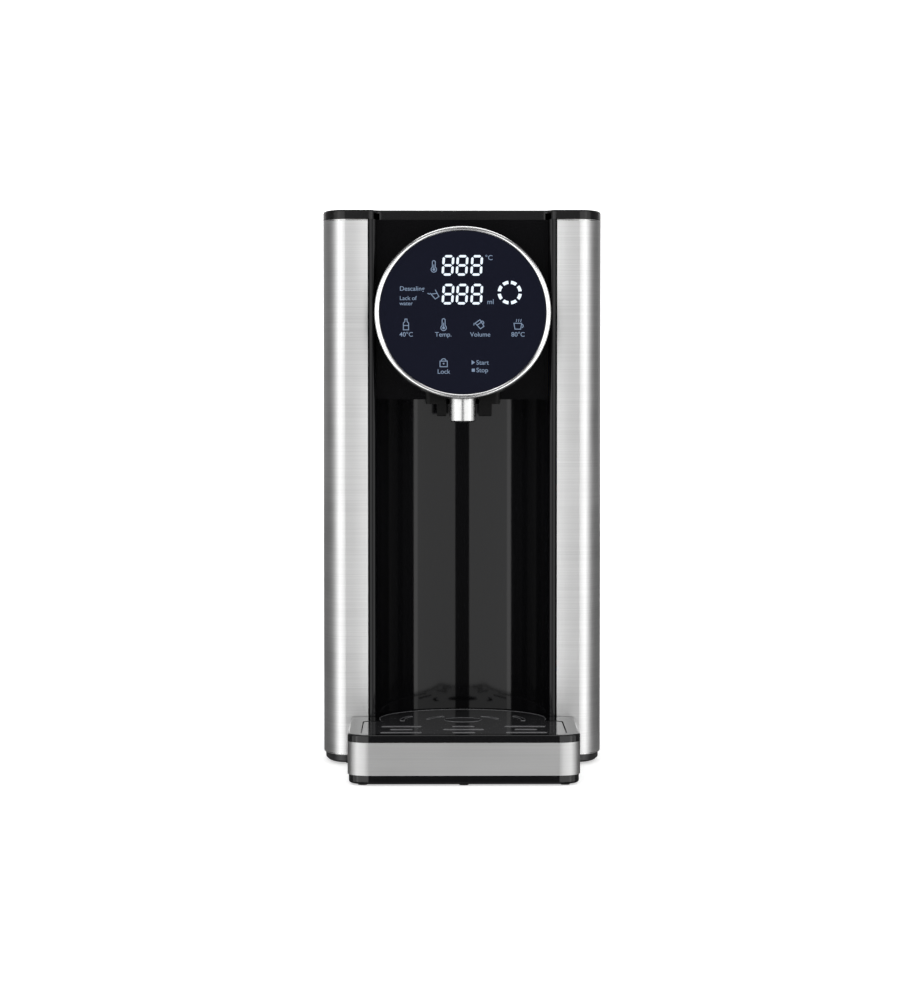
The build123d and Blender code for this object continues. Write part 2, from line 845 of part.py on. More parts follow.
pivot_y = tank_rear_y + 1.6 - 4
with BuildPart() as rocker_housing:
    with BuildSketch(Plane.XZ.offset(-tank_rear_y)):
        with Locations((rocker_x, rear_fitting_z)):
            RectangleRounded(25, 19, 1.5)
    extrude(amount=-1.6)
    with BuildSketch(Plane.XZ.offset(-tank_rear_y)):
        with Locations((rocker_x, rear_fitting_z)):
            Rectangle(21, 15)
    extrude(amount=14)
    with BuildSketch(Plane.XZ.offset(-tank_rear_y - 1.6)):
        with Locations((rocker_x, rear_fitting_z)):
            Rectangle(18.4, 12.4)
    extrude(amount=12, mode=Mode.SUBTRACT)
    with BuildSketch(Plane.XY.offset(rear_fitting_z - 7.3)):
        with Locations((rocker_x, pivot_y)):
            Circle(pin_radius + running_gap)
    extrude(amount=14.6, mode=Mode.SUBTRACT)
save(rocker_housing, "rocker_housing")

rocker_plane = Plane(
    origin=(rocker_x, pivot_y, rear_fitting_z),
    x_dir=(cos(radians(rocker_tilt)), sin(radians(rocker_tilt)), 0),
    z_dir=(0, 0, 1),
)
with BuildPart() as power_rocker:
    with BuildSketch(rocker_plane):
        with BuildLine():
            Polyline((8, 1.8), (8, 5.2))
            ThreePointArc((8, 5.2), (0, 4.2), (-8, 5.2))
            Polyline((-8, 5.2), (-8, 1.8), (-3, -1.2), (3, -1.2), (8, 1.8))
        make_face()
    extrude(amount=5.9, both=True)
    with BuildSketch(rocker_plane):
        Circle(pin_radius)
    extrude(amount=7.1, both=True)
save(power_rocker, "power_rocker")

# ---------------------------------------------------------------- top cover

cover_height = overall_height - steel_top
cover_seam = 0.6
cover_rear_y = bay_y + 0.8
edge_round = 1.6
skin = 2.2
with BuildPart() as top_cover:
    with BuildSketch(Plane.XY.offset(steel_top)):
        with BuildLine():
            cover_outline(0, cover_rear_y)
        make_face()
    extrude(amount=cover_height)
    fillet(top_cover.faces().sort_by(Axis.Z)[-1].edges(), edge_round)
    with BuildSketch(Plane.XY.offset(steel_top)):
        with BuildLine():
            cover_outline(skin, cover_rear_y - skin)
        make_face()
    extrude(amount=cover_height - skin, mode=Mode.SUBTRACT)
save(top_cover, "top_cover")

# ---------------------------------------------------------------- water tank

tank_front_y = bay_y + 1.5
tank_height = tank_top - shelf_top
lug_centres = (-40, 40)
lug_width = 8
with BuildPart() as water_tank:
    with BuildSketch(Plane.XY.offset(shelf_top)):
        with BuildLine():
            tank_outline(tank_half_width, tank_front_y, tank_rear_y, 4, rear_corner)
        make_face()
    extrude(amount=tank_height)
    fillet(water_tank.faces().sort_by(Axis.Z)[0].edges(), 1.5)
    with BuildSketch(Plane.XY.offset(shelf_top + wall)):
        with BuildLine():
            tank_outline(
                tank_half_width - wall, tank_front_y + wall, tank_rear_y - wall, 2, rear_corner - wall
            )
        make_face()
    extrude(amount=tank_height - wall, mode=Mode.SUBTRACT)
    with BuildSketch(Plane.XY.offset(shelf_top)):
        with Locations((0, valve_y)):
            Circle(valve_body_radius)
    extrude(amount=wall, mode=Mode.SUBTRACT)
    for lug_x in lug_centres:
        with BuildSketch(Plane.YZ.offset(lug_x)):
            with Locations((hinge_y, hinge_z)):
                Circle(barrel_radius)
            with Locations(((tank_rear_y + rear_y) / 2, hinge_z - 7)):
                Rectangle(rear_y - tank_rear_y, 14)
        extrude(amount=lug_width / 2, both=True)
        with BuildSketch(Plane.YZ.offset(lug_x)):
            with Locations((hinge_y, hinge_z)):
                Circle(1)
        extrude(amount=lug_width / 2, both=True, mode=Mode.SUBTRACT)
save(water_tank, "water_tank")

with BuildPart() as tank_handle:
    with BuildSketch(Plane.XY.offset(345)):
        with Locations((0, (tank_front_y + tank_rear_y) / 2)):
            Rectangle(20, tank_rear_y - tank_front_y - 2 * wall)
    extrude(amount=7)
    fillet(tank_handle.edges().filter_by(Axis.Y), 2.5)
save(tank_handle, "tank_handle")

lid_front_y = cover_rear_y + cover_seam
lid_rear_y = tank_rear_y + 0.2
plug_depth = 7
plug_half_width = tank_half_width - wall - 2
plug_front_y = tank_front_y + wall + 2
plug_rear_y = tank_rear_y - wall - 1
with BuildPart() as tank_lid:
    with BuildSketch(Plane.XY.offset(steel_top)):
        with BuildLine():
            tank_outline(half_width, lid_front_y, lid_rear_y, 0.5, rear_corner + 1)
        make_face()
    extrude(amount=cover_height)
    fillet(tank_lid.faces().sort_by(Axis.Z)[-1].edges(), edge_round)
    with BuildSketch(Plane.XY.offset(steel_top)):
        with BuildLine():
            tank_outline(half_width - skin, lid_front_y + skin, lid_rear_y - skin, 1, rear_corner - 1)
        make_face()
    extrude(amount=cover_height - skin, mode=Mode.SUBTRACT)
    with BuildSketch(Plane.XY.offset(steel_top - plug_depth)):
        with BuildLine():
            tank_outline(plug_half_width, plug_front_y, plug_rear_y, 2, rear_corner - wall - 1)
        make_face()
        with BuildLine():
            tank_outline(plug_half_width - 2, plug_front_y + 2, plug_rear_y - 2, 2, rear_corner - wall - 3)
        make_face(mode=Mode.SUBTRACT)
    extrude(amount=plug_depth + cover_height - skin)
    with BuildSketch(Plane.XY.offset(steel_top - 0.1)):
        with Locations(*[(lug_x, rear_y - 3) for lug_x in lug_centres]):
            Rectangle(lug_width + 1, 6)
    extrude(amount=cover_height + 0.1, mode=Mode.SUBTRACT)
    with BuildSketch(Plane.YZ):
        with Locations((hinge_y, hinge_z)):
            Circle(barrel_radius)
    extrude(amount=lug_centres[1] - lug_width / 2 - 0.5, both=True)
    with BuildSketch(Plane.YZ):
        with Locations((hinge_y, hinge_z)):
            Circle(1 + running_gap)
    extrude(amount=lug_centres[1], both=True, mode=Mode.SUBTRACT)
save(tank_lid, "tank_lid")

with BuildPart() as lid_hinge_pin:
    with BuildSketch(Plane.YZ):
        with Locations((hinge_y, hinge_z)):
            Circle(1)
    extrude(amount=lug_centres[1] + lug_width / 2, both=True)
save(lid_hinge_pin, "lid_hinge_pin")

# ---------------------------------------------------------------- tank valve and float

tank_floor = shelf_top + wall
flange_height = 3
guide_z = tank_floor + flange_height
with BuildPart() as valve_housing:
    with BuildSketch(Plane.XY.offset(seat_z - 3)):
        with Locations((0, valve_y)):
            Circle(valve_body_radius)
    extrude(amount=tank_floor - seat_z + 3)
    with BuildSketch(Plane.XY.offset(tank_floor)):
        with Locations((0, valve_y)):
            Circle(19)
    extrude(amount=flange_height)
    with BuildSketch(Plane.XY.offset(seat_z)):
        with Locations((0, valve_y)):
            Circle(9)
    extrude(amount=guide_z - seat_z, mode=Mode.SUBTRACT)
    with BuildSketch(Plane.XY.offset(seat_z - 3)):
        with Locations((0, valve_y)):
            Circle(6)
    extrude(amount=3, mode=Mode.SUBTRACT)
save(valve_housing, "valve_housing")

stem_radius = 2.5
with BuildPart() as valve_guide:
    with BuildSketch(Plane.XY.offset(guide_z)):
        with Locations((0, valve_y)):
            Circle(15)
            Circle(stem_radius + running_gap, mode=Mode.SUBTRACT)
            with PolarLocations(8.5, 4):
                Circle(2.6, mode=Mode.SUBTRACT)
    extrude(amount=2.5)
save(valve_guide, "valve_guide")

poppet_z = seat_z + 3.5
with BuildPart() as tank_valve:
    with BuildSketch(Plane.XY.offset(32)):
        with Locations((0, valve_y)):
            Circle(stem_radius)
    extrude(amount=27)
    with BuildSketch(Plane.XY.offset(poppet_z)):
        with Locations((0, valve_y)):
            Circle(8)
    extrude(amount=2)
save(tank_valve, "tank_valve")

with BuildPart() as valve_seal:
    with BuildSketch(Plane.XY.offset(poppet_z - 1.5)):
        with Locations((0, valve_y)):
            Circle(7.8)
            Circle(stem_radius, mode=Mode.SUBTRACT)
    extrude(amount=1.5)
save(valve_seal, "valve_seal")

with BuildPart() as valve_spring:
    with BuildSketch(Plane.XY.offset(poppet_z + 2)):
        with Locations((0, valve_y)):
            Circle(5)
            Circle(4, mode=Mode.SUBTRACT)
    extrude(amount=guide_z - poppet_z - 2)
save(valve_spring, "valve_spring")

with BuildPart() as tank_filter:
    with BuildSketch(Plane.XY.offset(guide_z)):
        with Locations((0, valve_y)):
            Circle(17.5)
    extrude(amount=16)
    with BuildSketch(Plane.XY.offset(guide_z)):
        with Locations((0, valve_y)):
            Circle(15.8)
    extrude(amount=14.5, mode=Mode.SUBTRACT)
    for angle in range(0, 180, 30):
        slot_plane = Plane(
            origin=(0, valve_y, guide_z + 8),
            x_dir=(cos(radians(angle)), sin(radians(angle)), 0),
            z_dir=(-sin(radians(angle)), cos(radians(angle)), 0),
        )
        with BuildSketch(slot_plane):
            Rectangle(3, 8)
        extrude(amount=20, both=True, mode=Mode.SUBTRACT)
save(tank_filter, "tank_filter")

float_radius = 9
float_stroke = 15
float_height = 18
float_rest = tank_floor + 1
guide_top = float_rest + float_height + float_stroke + 2
with BuildPart() as float_guide:
    with BuildSketch(Plane.XY.offset(tank_floor)):
        with Locations((float_x, float_y)):
            Circle(float_radius + 3)
            Circle(float_radius + 1, mode=Mode.SUBTRACT)
    extrude(amount=guide_top - tank_floor)
    with BuildSketch(Plane.XZ.offset(-float_y)):
        with Locations((float_x, (tank_floor + guide_top) / 2)):
            Rectangle(6, guide_top - tank_floor - 8)
    extrude(amount=20, both=True, mode=Mode.SUBTRACT)
    with BuildSketch(Plane.XY.offset(guide_top)):
        with Locations((float_x, float_y)):
            Circle(float_radius + 3)
            Circle(4, mode=Mode.SUBTRACT)
    extrude(amount=2)
    with BuildSketch(Plane.XY.offset(tank_floor)):
        with Locations((float_x, float_y)):
            Circle(float_radius + 3)
    extrude(amount=0.8)
save(float_guide, "float_guide")

with BuildPart() as tank_float:
    with BuildSketch(Plane.XY.offset(float_rest)):
        with Locations((float_x, float_y)):
            Circle(float_radius)
    extrude(amount=float_height)
    fillet(tank_float.edges().filter_by(GeomType.CIRCLE), 1.5)
save(tank_float, "tank_float")

# ---------------------------------------------------------------- drip tray

tray_rear_y = crest_y - 0.5
tongue_bottom = 8
tub_wall = 2.2
deck = 4.5
rabbet = 2.5


def tray_front(inset, corner, back_wall=0):
    # straight at the back, rounded front corners
    half = tray_half_width - inset
    back = tray_rear_y - back_wall
    front = front_y + inset
    FilletPolyline((half, back), (half, front), (-half, front), (-half, back), radius=corner)
    Line((-half, back), (half, back))


def plate_outline(inset):
    # a rectangle in front that runs into the round tongue behind
    half = plate_half_width - inset
    front = front_y + 7 + inset
    rear = plate_rear_y - inset
    with Locations((0, (front + rear) / 2)):
        RectangleRounded(2 * half, rear - front, 6)
    with Locations((0, niche_y)):
        Circle(plate_radius - inset)


with BuildPart() as tray_tub:
    with BuildSketch(Plane.XY.offset(tray_bottom)):
        with BuildLine():
            tray_front(band_gauge, tray_corner - band_gauge)
        make_face()
    extrude(amount=band_top - tray_bottom)
    with BuildSketch(Plane.XY.offset(band_top)):
        with BuildLine():
            tray_front(0, tray_corner)
        make_face()
    extrude(amount=tray_top - band_top)
    with BuildSketch(Plane.XY.offset(tongue_bottom)):
        with Locations((0, niche_y)):
            Circle(tongue_radius)
    extrude(amount=tray_top - tongue_bottom)
    top_rim = tray_tub.faces().filter_by(Axis.Z).sort_by(Axis.Z)[-1].outer_wire().edges()
    fillet(top_rim, 1.4)
    bottom_rim = tray_tub.faces().filter_by(Axis.Z).sort_by(Axis.Z)[0].outer_wire().edges()
    fillet(bottom_rim, 1.6)
    with BuildSketch(Plane.XY.offset(tray_bottom + tub_wall)):
        with BuildLine():
            tray_front(band_gauge + tub_wall, tray_corner - band_gauge - tub_wall, tub_wall)
        make_face()
    extrude(amount=tray_top - deck - tray_bottom - tub_wall, mode=Mode.SUBTRACT)
    with BuildSketch(Plane.XY.offset(tongue_bottom + tub_wall)):
        with Locations((0, niche_y)):
            Circle(tongue_radius - tub_wall)
        with Locations((0, front_y)):
            Rectangle(4 * plate_half_width, 2 * (tray_rear_y - front_y - tub_wall), mode=Mode.SUBTRACT)
    extrude(amount=tray_top - deck - tongue_bottom - tub_wall, mode=Mode.SUBTRACT)
    with BuildSketch(Plane.XY.offset(tray_top - deck)):
        plate_outline(rabbet)
    extrude(amount=deck, mode=Mode.SUBTRACT)
    with BuildSketch(Plane.XY.offset(tray_top - plate_thickness - 0.3)):
        plate_outline(-0.4)
    extrude(amount=plate_thickness + 0.3, mode=Mode.SUBTRACT)
save(tray_tub, "tray_tub")

with BuildPart() as tray_band:
    with BuildSketch(Plane.XY.offset(band_bottom)):
        with BuildLine():
            tray_front(0, tray_corner)
        make_face()
        with BuildLine():
            tray_front(band_gauge, tray_corner - band_gauge)
        make_face(mode=Mode.SUBTRACT)
    extrude(amount=band_top - band_bottom)
save(tray_band, "tray_band")

with BuildPart() as tray_feet:
    with BuildSketch():
        with Locations((0, front_y + 7), (66, front_y + 9), (-66, front_y + 9)):
            Circle(3)
    extrude(amount=tray_bottom)
save(tray_feet, "tray_feet")

slot_width = 2.2
slot_rows = (front_y + 16, front_y + 33, front_y + 50)
slot_columns = (-41, 0, 41)
slot_lengths = (26, 14)
slot_arcs = ((24, 15, 55), (24, 125, 165), (41, -6, 30), (41, 150, 186))
plate_level = tray_top - plate_thickness - 0.3
with BuildPart() as drip_plate:
    with BuildSketch(Plane.XY.offset(plate_level)):
        plate_outline(0)
        with Locations((0, plate_hole_y)):
            Circle(12.3, mode=Mode.SUBTRACT)
        for row, slot_y in enumerate(slot_rows):
            for column, slot_x in enumerate(slot_columns):
                with Locations((slot_x, slot_y)):
                    SlotOverall(slot_lengths[(row + column) % 2], slot_width, mode=Mode.SUBTRACT)
    extrude(amount=plate_thickness)
    for radius, start, end in slot_arcs:
        with BuildSketch(Plane.XY.offset(plate_level)):
            with Locations((0, plate_hole_y)):
                SlotArc(
                    CenterArc((0, 0), radius, start, end - start, mode=Mode.PRIVATE),
                    slot_width,
                )
        extrude(amount=plate_thickness, mode=Mode.SUBTRACT)
    fillet(drip_plate.faces().sort_by(Axis.Z)[-1].outer_wire().edges(), 0.5)
save(drip_plate, "drip_plate")
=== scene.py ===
import bpy
import bmesh
import json
import math
from mathutils import Matrix, Vector


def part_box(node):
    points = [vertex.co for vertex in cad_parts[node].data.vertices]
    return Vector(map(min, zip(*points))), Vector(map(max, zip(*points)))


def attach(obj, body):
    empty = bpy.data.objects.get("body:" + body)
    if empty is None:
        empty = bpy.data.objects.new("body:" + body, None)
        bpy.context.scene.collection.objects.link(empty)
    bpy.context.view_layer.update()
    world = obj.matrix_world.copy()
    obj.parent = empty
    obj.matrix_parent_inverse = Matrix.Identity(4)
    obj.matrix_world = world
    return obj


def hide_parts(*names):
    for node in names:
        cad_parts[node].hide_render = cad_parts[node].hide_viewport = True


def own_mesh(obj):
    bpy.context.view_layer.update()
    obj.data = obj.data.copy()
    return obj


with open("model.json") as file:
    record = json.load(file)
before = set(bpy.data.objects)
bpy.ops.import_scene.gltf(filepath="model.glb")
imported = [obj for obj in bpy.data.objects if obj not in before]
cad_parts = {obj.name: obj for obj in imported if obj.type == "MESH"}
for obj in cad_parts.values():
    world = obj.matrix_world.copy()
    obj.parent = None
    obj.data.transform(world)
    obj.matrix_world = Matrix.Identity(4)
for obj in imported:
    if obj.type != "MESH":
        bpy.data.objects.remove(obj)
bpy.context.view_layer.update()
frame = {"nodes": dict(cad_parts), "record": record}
scene = bpy.context.scene
mm = 0.001


# camera, stage and lights

cameraSet = {"place": (-0.02, -2.0955, 0.2665), "aim": (-0.00034, -0.0455), "pitch": 2.375, "lens": 108.3}


def makeCamera():
    data = bpy.data.cameras.new("camera")
    data.lens = cameraSet["lens"]
    data.clip_end = 50
    camera = bpy.data.objects.new("camera", data)
    scene.collection.objects.link(camera)
    place = Vector(cameraSet["place"])
    yaw = math.atan2(place.x - cameraSet["aim"][0], cameraSet["aim"][1] - place.y)
    camera.location = place
    camera.rotation_euler = (math.radians(90 - cameraSet["pitch"]), 0, yaw)
    scene.camera = camera


stageSet = {"size": 8.0, "backY": 3.0, "grey": 0.93, "roughness": 0.9, "glow": 0.5, "world": 0.10}


def paleFinish(name, glow):
    material = bpy.data.materials.new(name)
    material.use_nodes = True
    shader = material.node_tree.nodes["Principled BSDF"]
    shader.inputs["Base Color"].default_value = (stageSet["grey"],) * 3 + (1,)
    shader.inputs["Roughness"].default_value = stageSet["roughness"]
    shader.inputs["Emission Color"].default_value = (1, 1, 1, 1)
    shader.inputs["Emission Strength"].default_value = glow
    return material


def makeStage():
    # the floor and backdrop stay out of mirror reflections, as black cards would keep them out
    half = stageSet["size"] / 2
    back = stageSet["backY"]
    sheets = {
        "floor": [(-half, -half, 0), (half, -half, 0), (half, back, 0), (-half, back, 0)],
        "backdrop": [(-half, back, 0), (half, back, 0), (half, back, half), (-half, back, half)],
    }
    for name, corners in sheets.items():
        mesh = bpy.data.meshes.new(name)
        mesh.from_pydata(corners, [], [(0, 1, 2, 3)])
        sheet = bpy.data.objects.new(name, mesh)
        scene.collection.objects.link(sheet)
        mesh.materials.append(paleFinish(name, stageSet["glow"] if name == "floor" else 1.0))
        sheet.visible_glossy = False
    world = bpy.data.worlds.new("room")
    world.use_nodes = True
    world.node_tree.nodes["Background"].inputs["Color"].default_value = (1, 1, 1, 1)
    world.node_tree.nodes["Background"].inputs["Strength"].default_value = stageSet["world"]
    scene.world = world
    scene.view_settings.view_transform = "Standard"


lightSet = {
    "leftBox": {"angle": -40, "distance": 1.7, "height": 0.5, "aim": 0.5, "size": (2.04, 2.2), "power": 23.0},
    "rightBox": {"angle": 40, "distance": 1.7, "height": 0.5, "aim": 0.5, "size": (2.04, 2.2), "power": 22.0},
    "leftSide": {"angle": -79, "distance": 1.5, "height": 0.5, "aim": 0.5, "size": (1.0, 2.2), "power": 6.5},
    "rightSide": {"angle": 79, "distance": 1.5, "height": 0.5, "aim": 0.5, "size": (1.0, 2.2), "power": 6.5},
    "lowBox": {"angle": 0, "distance": 0.7, "height": -0.6, "aim": 0.28, "size": (0.9, 0.45), "power": 0.7},
    "overBox": {"angle": 0, "distance": 0.75, "height": 1.5, "aim": 0.28, "size": (0.8, 0.6), "power": 0.9},
    "topBox": {"angle": 180, "distance": 0.3, "height": 2.2, "aim": 0.28, "size": (1.8, 1.2), "power": 14.0},
    "backBox": {"angle": 180, "distance": 2.2, "height": 0.7, "aim": 0.7, "size": (2.4, 1.2), "power": 5.0},
}


def makeLights():
    # each box stands at its angle round the machine from the front, and faces the Z axis at its aim
    for name, box in lightSet.items():
        data = bpy.data.lights.new(name, "AREA")
        data.shape = "RECTANGLE"
        data.size, data.size_y = box["size"]
        data.energy = box["power"]
        lamp = bpy.data.objects.new(name, data)
        scene.collection.objects.link(lamp)
        turn = math.radians(box["angle"])
        lamp.location = (math.sin(turn) * box["distance"], -math.cos(turn) * box["distance"], box["height"])
        target = Vector((0, 0, box["aim"]))
        lamp.rotation_euler = (target - lamp.location).to_track_quat("-Z", "Y").to_euler()


makeCamera()
makeStage()
makeLights()
print("stage ready")

# finishes

grainSet = {
    "brushLines": (9, 9, 2600),  # scale on X, Y and Z, in cycles per metre
    "brushPatches": (14, 14, 30),
    "brushRelief": (0.12, 0.00002),
    "waves": (60, 60, 60),
    "wavesRelief": (0.02, 0.0002),
    "smears": (18, 18, 9),
    "clearSmears": (25, 25, 12),
    "patches": (25, 25, 25),
    "tracks": 260,
    "trackGap": 0.06,
    "flicker": (900, 900, 900),
}


def newFinish(name, colour, roughness, metallic=0.0):
    material = bpy.data.materials.new(name)
    material.use_nodes = True
    shader = material.node_tree.nodes["Principled BSDF"]
    shader.inputs["Base Color"].default_value = (*colour, 1)
    shader.inputs["Roughness"].default_value = roughness
    shader.inputs["Metallic"].default_value = metallic
    return material, material.node_tree, shader


def grainField(tree, scale, detail=4.0, roughness=0.5):
    # noise read from the piece's own coordinates, stretched by a different scale on each axis
    coordinates = tree.nodes.new("ShaderNodeTexCoord")
    mapping = tree.nodes.new("ShaderNodeMapping")
    mapping.inputs["Scale"].default_value = scale
    noise = tree.nodes.new("ShaderNodeTexNoise")
    noise.inputs["Scale"].default_value = 1.0
    noise.inputs["Detail"].default_value = detail
    noise.inputs["Roughness"].default_value = roughness
    tree.links.new(coordinates.outputs["Object"], mapping.inputs["Vector"])
    tree.links.new(mapping.outputs["Vector"], noise.inputs["Vector"])
    return noise.outputs["Fac"]


def spread(tree, value, low, high):
    # noise mostly lies between 0.3 and 0.7, so that part is stretched over low to high
    ramp = tree.nodes.new("ShaderNodeMapRange")
    ramp.inputs["From Min"].default_value = 0.3
    ramp.inputs["From Max"].default_value = 0.7
    ramp.inputs["To Min"].default_value = low
    ramp.inputs["To Max"].default_value = high
    tree.links.new(value, ramp.inputs["Value"])
    return ramp.outputs["Result"]


def shade(tree, shader, value, dark, light):
    mix = tree.nodes.new("ShaderNodeMix")
    mix.data_type = "RGBA"
    mix.inputs["A"].default_value = (*dark, 1)
    mix.inputs["B"].default_value = (*light, 1)
    tree.links.new(value, mix.inputs["Factor"])
    tree.links.new(mix.outputs["Result"], shader.inputs["Base Color"])


def relief(tree, shader, value, strength, depth):
    bump = tree.nodes.new("ShaderNodeBump")
    bump.inputs["Strength"].default_value = strength
    bump.inputs["Distance"].default_value = depth
    tree.links.new(value, bump.inputs["Height"])
    tree.links.new(bump.outputs["Normal"], shader.inputs["Normal"])


def brushedSteel(name, dark, light, rough, anisotropy):
    # the brush ran level round the casing, so its lines are long in X and Y and fine in Z
    material, tree, shader = newFinish(name, light, rough[0], 1.0)
    lines = grainField(tree, grainSet["brushLines"], 3.0, 0.6)
    patches = grainField(tree, grainSet["brushPatches"], 2.0)
    shade(tree, shader, spread(tree, lines, 0.0, 1.0), dark, light)
    blend = tree.nodes.new("ShaderNodeMath")
    blend.operation = "ADD"
    tree.links.new(spread(tree, lines, rough[0], rough[1]), blend.inputs[0])
    tree.links.new(spread(tree, patches, -0.02, 0.02), blend.inputs[1])
    tree.links.new(blend.outputs["Value"], shader.inputs["Roughness"])
    relief(tree, shader, lines, *grainSet["brushRelief"])
    shader.inputs["Anisotropic"].default_value = anisotropy
    tangent = tree.nodes.new("ShaderNodeTangent")
    tangent.direction_type = "RADIAL"
    tangent.axis = "Z"
    tree.links.new(tangent.outputs["Tangent"], shader.inputs["Tangent"])
    return material


def plainMetal(name, colour, low, high, grain=420):
    material, tree, shader = newFinish(name, colour, low, 1.0)
    wear = grainField(tree, (grain, grain, grain), 3.0)
    tree.links.new(spread(tree, wear, low, high), shader.inputs["Roughness"])
    return material


def glossPlastic(name, colour, low, high, mirror):
    # clean moulding with a faint waviness
    material, tree, shader = newFinish(name, colour, low)
    waves = grainField(tree, grainSet["waves"], 1.0)
    smears = grainField(tree, grainSet["smears"], 3.0)
    tree.links.new(spread(tree, smears, low, high), shader.inputs["Roughness"])
    relief(tree, shader, waves, *grainSet["wavesRelief"])
    shader.inputs["Specular IOR Level"].default_value = mirror
    return material


def satinPlastic(name, dark, light, low, high, grain=2200, depth=0.00004, mirror=0.5):
    # spark-eroded mould texture, with slight patches of polish
    material, tree, shader = newFinish(name, light, low)
    pits = grainField(tree, (grain, grain, grain), 2.0)
    patches = grainField(tree, grainSet["patches"], 3.0)
    shade(tree, shader, spread(tree, patches, 0.0, 1.0), dark, light)
    tree.links.new(spread(tree, patches, low, high), shader.inputs["Roughness"])
    relief(tree, shader, pits, 0.25, depth)
    shader.inputs["Specular IOR Level"].default_value = mirror
    return material


def clearPlastic(name, tint, low, high):
    material, tree, shader = newFinish(name, tint, low)
    smears = grainField(tree, grainSet["clearSmears"], 3.0)
    tree.links.new(spread(tree, smears, low, high), shader.inputs["Roughness"])
    shader.inputs["Transmission Weight"].default_value = 0.94
    shader.inputs["IOR"].default_value = 1.46
    return material


def circuitBoard(name):
    # copper tracks under green lacquer, as the edges of square cells
    material, tree, shader = newFinish(name, (0.02, 0.16, 0.06), 0.35)
    coordinates = tree.nodes.new("ShaderNodeTexCoord")
    cells = tree.nodes.new("ShaderNodeTexVoronoi")
    cells.feature = "DISTANCE_TO_EDGE"
    cells.distance = "CHEBYCHEV"
    cells.inputs["Scale"].default_value = grainSet["tracks"]
    tree.links.new(coordinates.outputs["Object"], cells.inputs["Vector"])
    tracks = tree.nodes.new("ShaderNodeMath")
    tracks.operation = "LESS_THAN"
    tracks.inputs[1].default_value = grainSet["trackGap"]
    tree.links.new(cells.outputs["Distance"], tracks.inputs[0])
    shade(tree, shader, tracks.outputs["Value"], (0.015, 0.12, 0.045), (0.03, 0.24, 0.10))
    return material


def glowing(name, colour, strength):
    material, tree, shader = newFinish(name, (0.01, 0.01, 0.01), 0.4)
    flicker = grainField(tree, grainSet["flicker"], 1.0)
    shade(tree, shader, flicker, (0.01, 0.01, 0.01), (0.02, 0.02, 0.02))
    shader.inputs["Emission Color"].default_value = (*colour, 1)
    shader.inputs["Emission Strength"].default_value = strength
    return material


bodySteel = {"dark": (0.60, 0.60, 0.598), "light": (0.70, 0.70, 0.698), "rough": (0.34, 0.39)}
bandSteel = {"dark": (0.46, 0.46, 0.458), "light": (0.51, 0.51, 0.508), "rough": (0.33, 0.38)}

finishes = {
    "brushed_steel": brushedSteel("brushedSteel", anisotropy=0.5, **bodySteel),
    "band_steel": brushedSteel("bandSteel", anisotropy=0.5, **bandSteel),
    "polished_steel": plainMetal("polishedSteel", (0.88, 0.88, 0.88), 0.16, 0.22),
    "gloss_black": glossPlastic("glossBlack", (0.003, 0.003, 0.0035), 0.05, 0.09, 0.25),
    "tub_black": glossPlastic("tubBlack", (0.004, 0.004, 0.0045), 0.08, 0.12, 0.4),
    "lid_black": glossPlastic("lidBlack", (0.004, 0.004, 0.0045), 0.22, 0.28, 0.35),
    "satin_black": satinPlastic("satinBlack", (0.012, 0.012, 0.013), (0.015, 0.015, 0.016), 0.34, 0.38),
    "plate_black": glossPlastic("plateBlack", (0.030, 0.030, 0.032), 0.08, 0.12, 0.8),
    "nozzle_steel": plainMetal("nozzleSteel", (0.62, 0.62, 0.615), 0.25, 0.31),
    "guard_black": satinPlastic("guardBlack", (0.003,) * 3, (0.005,) * 3, 0.40, 0.50, mirror=0.1),
    "dark_glass": glossPlastic("darkGlass", (0.0068, 0.0076, 0.0150), 0.03, 0.06, 0.2),
    "clear_plastic": clearPlastic("clearPlastic", (0.62, 0.68, 0.72), 0.04, 0.10),
    "rubber": satinPlastic("rubber", (0.012, 0.012, 0.012), (0.022, 0.022, 0.022), 0.62, 0.75, 1500),
    "silicone": satinPlastic("silicone", (0.68, 0.68, 0.66), (0.78, 0.78, 0.76), 0.40, 0.52, 900),
    "white_plastic": satinPlastic("whitePlastic", (0.70, 0.70, 0.68), (0.80, 0.80, 0.78), 0.38, 0.48),
    "float_red": satinPlastic("floatRed", (0.55, 0.03, 0.02), (0.68, 0.05, 0.03), 0.35, 0.45),
    "plain_steel": plainMetal("plainSteel", (0.58, 0.58, 0.57), 0.28, 0.40),
    "brass": plainMetal("brass", (0.75, 0.56, 0.26), 0.25, 0.38),
    "circuit_board": circuitBoard("circuitBoard"),
    "component_black": satinPlastic("componentBlack", (0.03, 0.03, 0.035), (0.06, 0.06, 0.065), 0.45, 0.60),
    # plate rims: the plate's own black plastic lightened to grey, a painted highlight on the slot edges
    "rim_painted_highlight": satinPlastic("rimPaintedHighlight", (0.10, 0.10, 0.105), (0.13, 0.13, 0.135), 0.18, 0.26, 900),
    "white_ink": satinPlastic("whiteInk", (0.72, 0.74, 0.76), (0.82, 0.84, 0.86), 0.45, 0.55, 900),
    "wire_red": satinPlastic("wireRed", (0.42, 0.02, 0.02), (0.52, 0.03, 0.03), 0.35, 0.45, 900),
    "wire_blue": satinPlastic("wireBlue", (0.02, 0.07, 0.40), (0.03, 0.09, 0.50), 0.35, 0.45, 900),
    "led_digits": glowing("ledDigits", (0.80, 0.90, 1.0), 1.15),
    "led_legends": glowing("ledLegends", (0.30, 0.42, 0.62), 0.6),
}

# pieces whose finish isn't quite that of their slot
ownFinish = {
    "nozzle": "nozzle_steel",
    "nozzle_guard": "guard_black",
    "top_cover": "lid_black",
    "tank_lid": "lid_black",
    "tray_tub": "tub_black",
    "tray_band": "band_steel",
    "drip_plate": "plate_black",
}


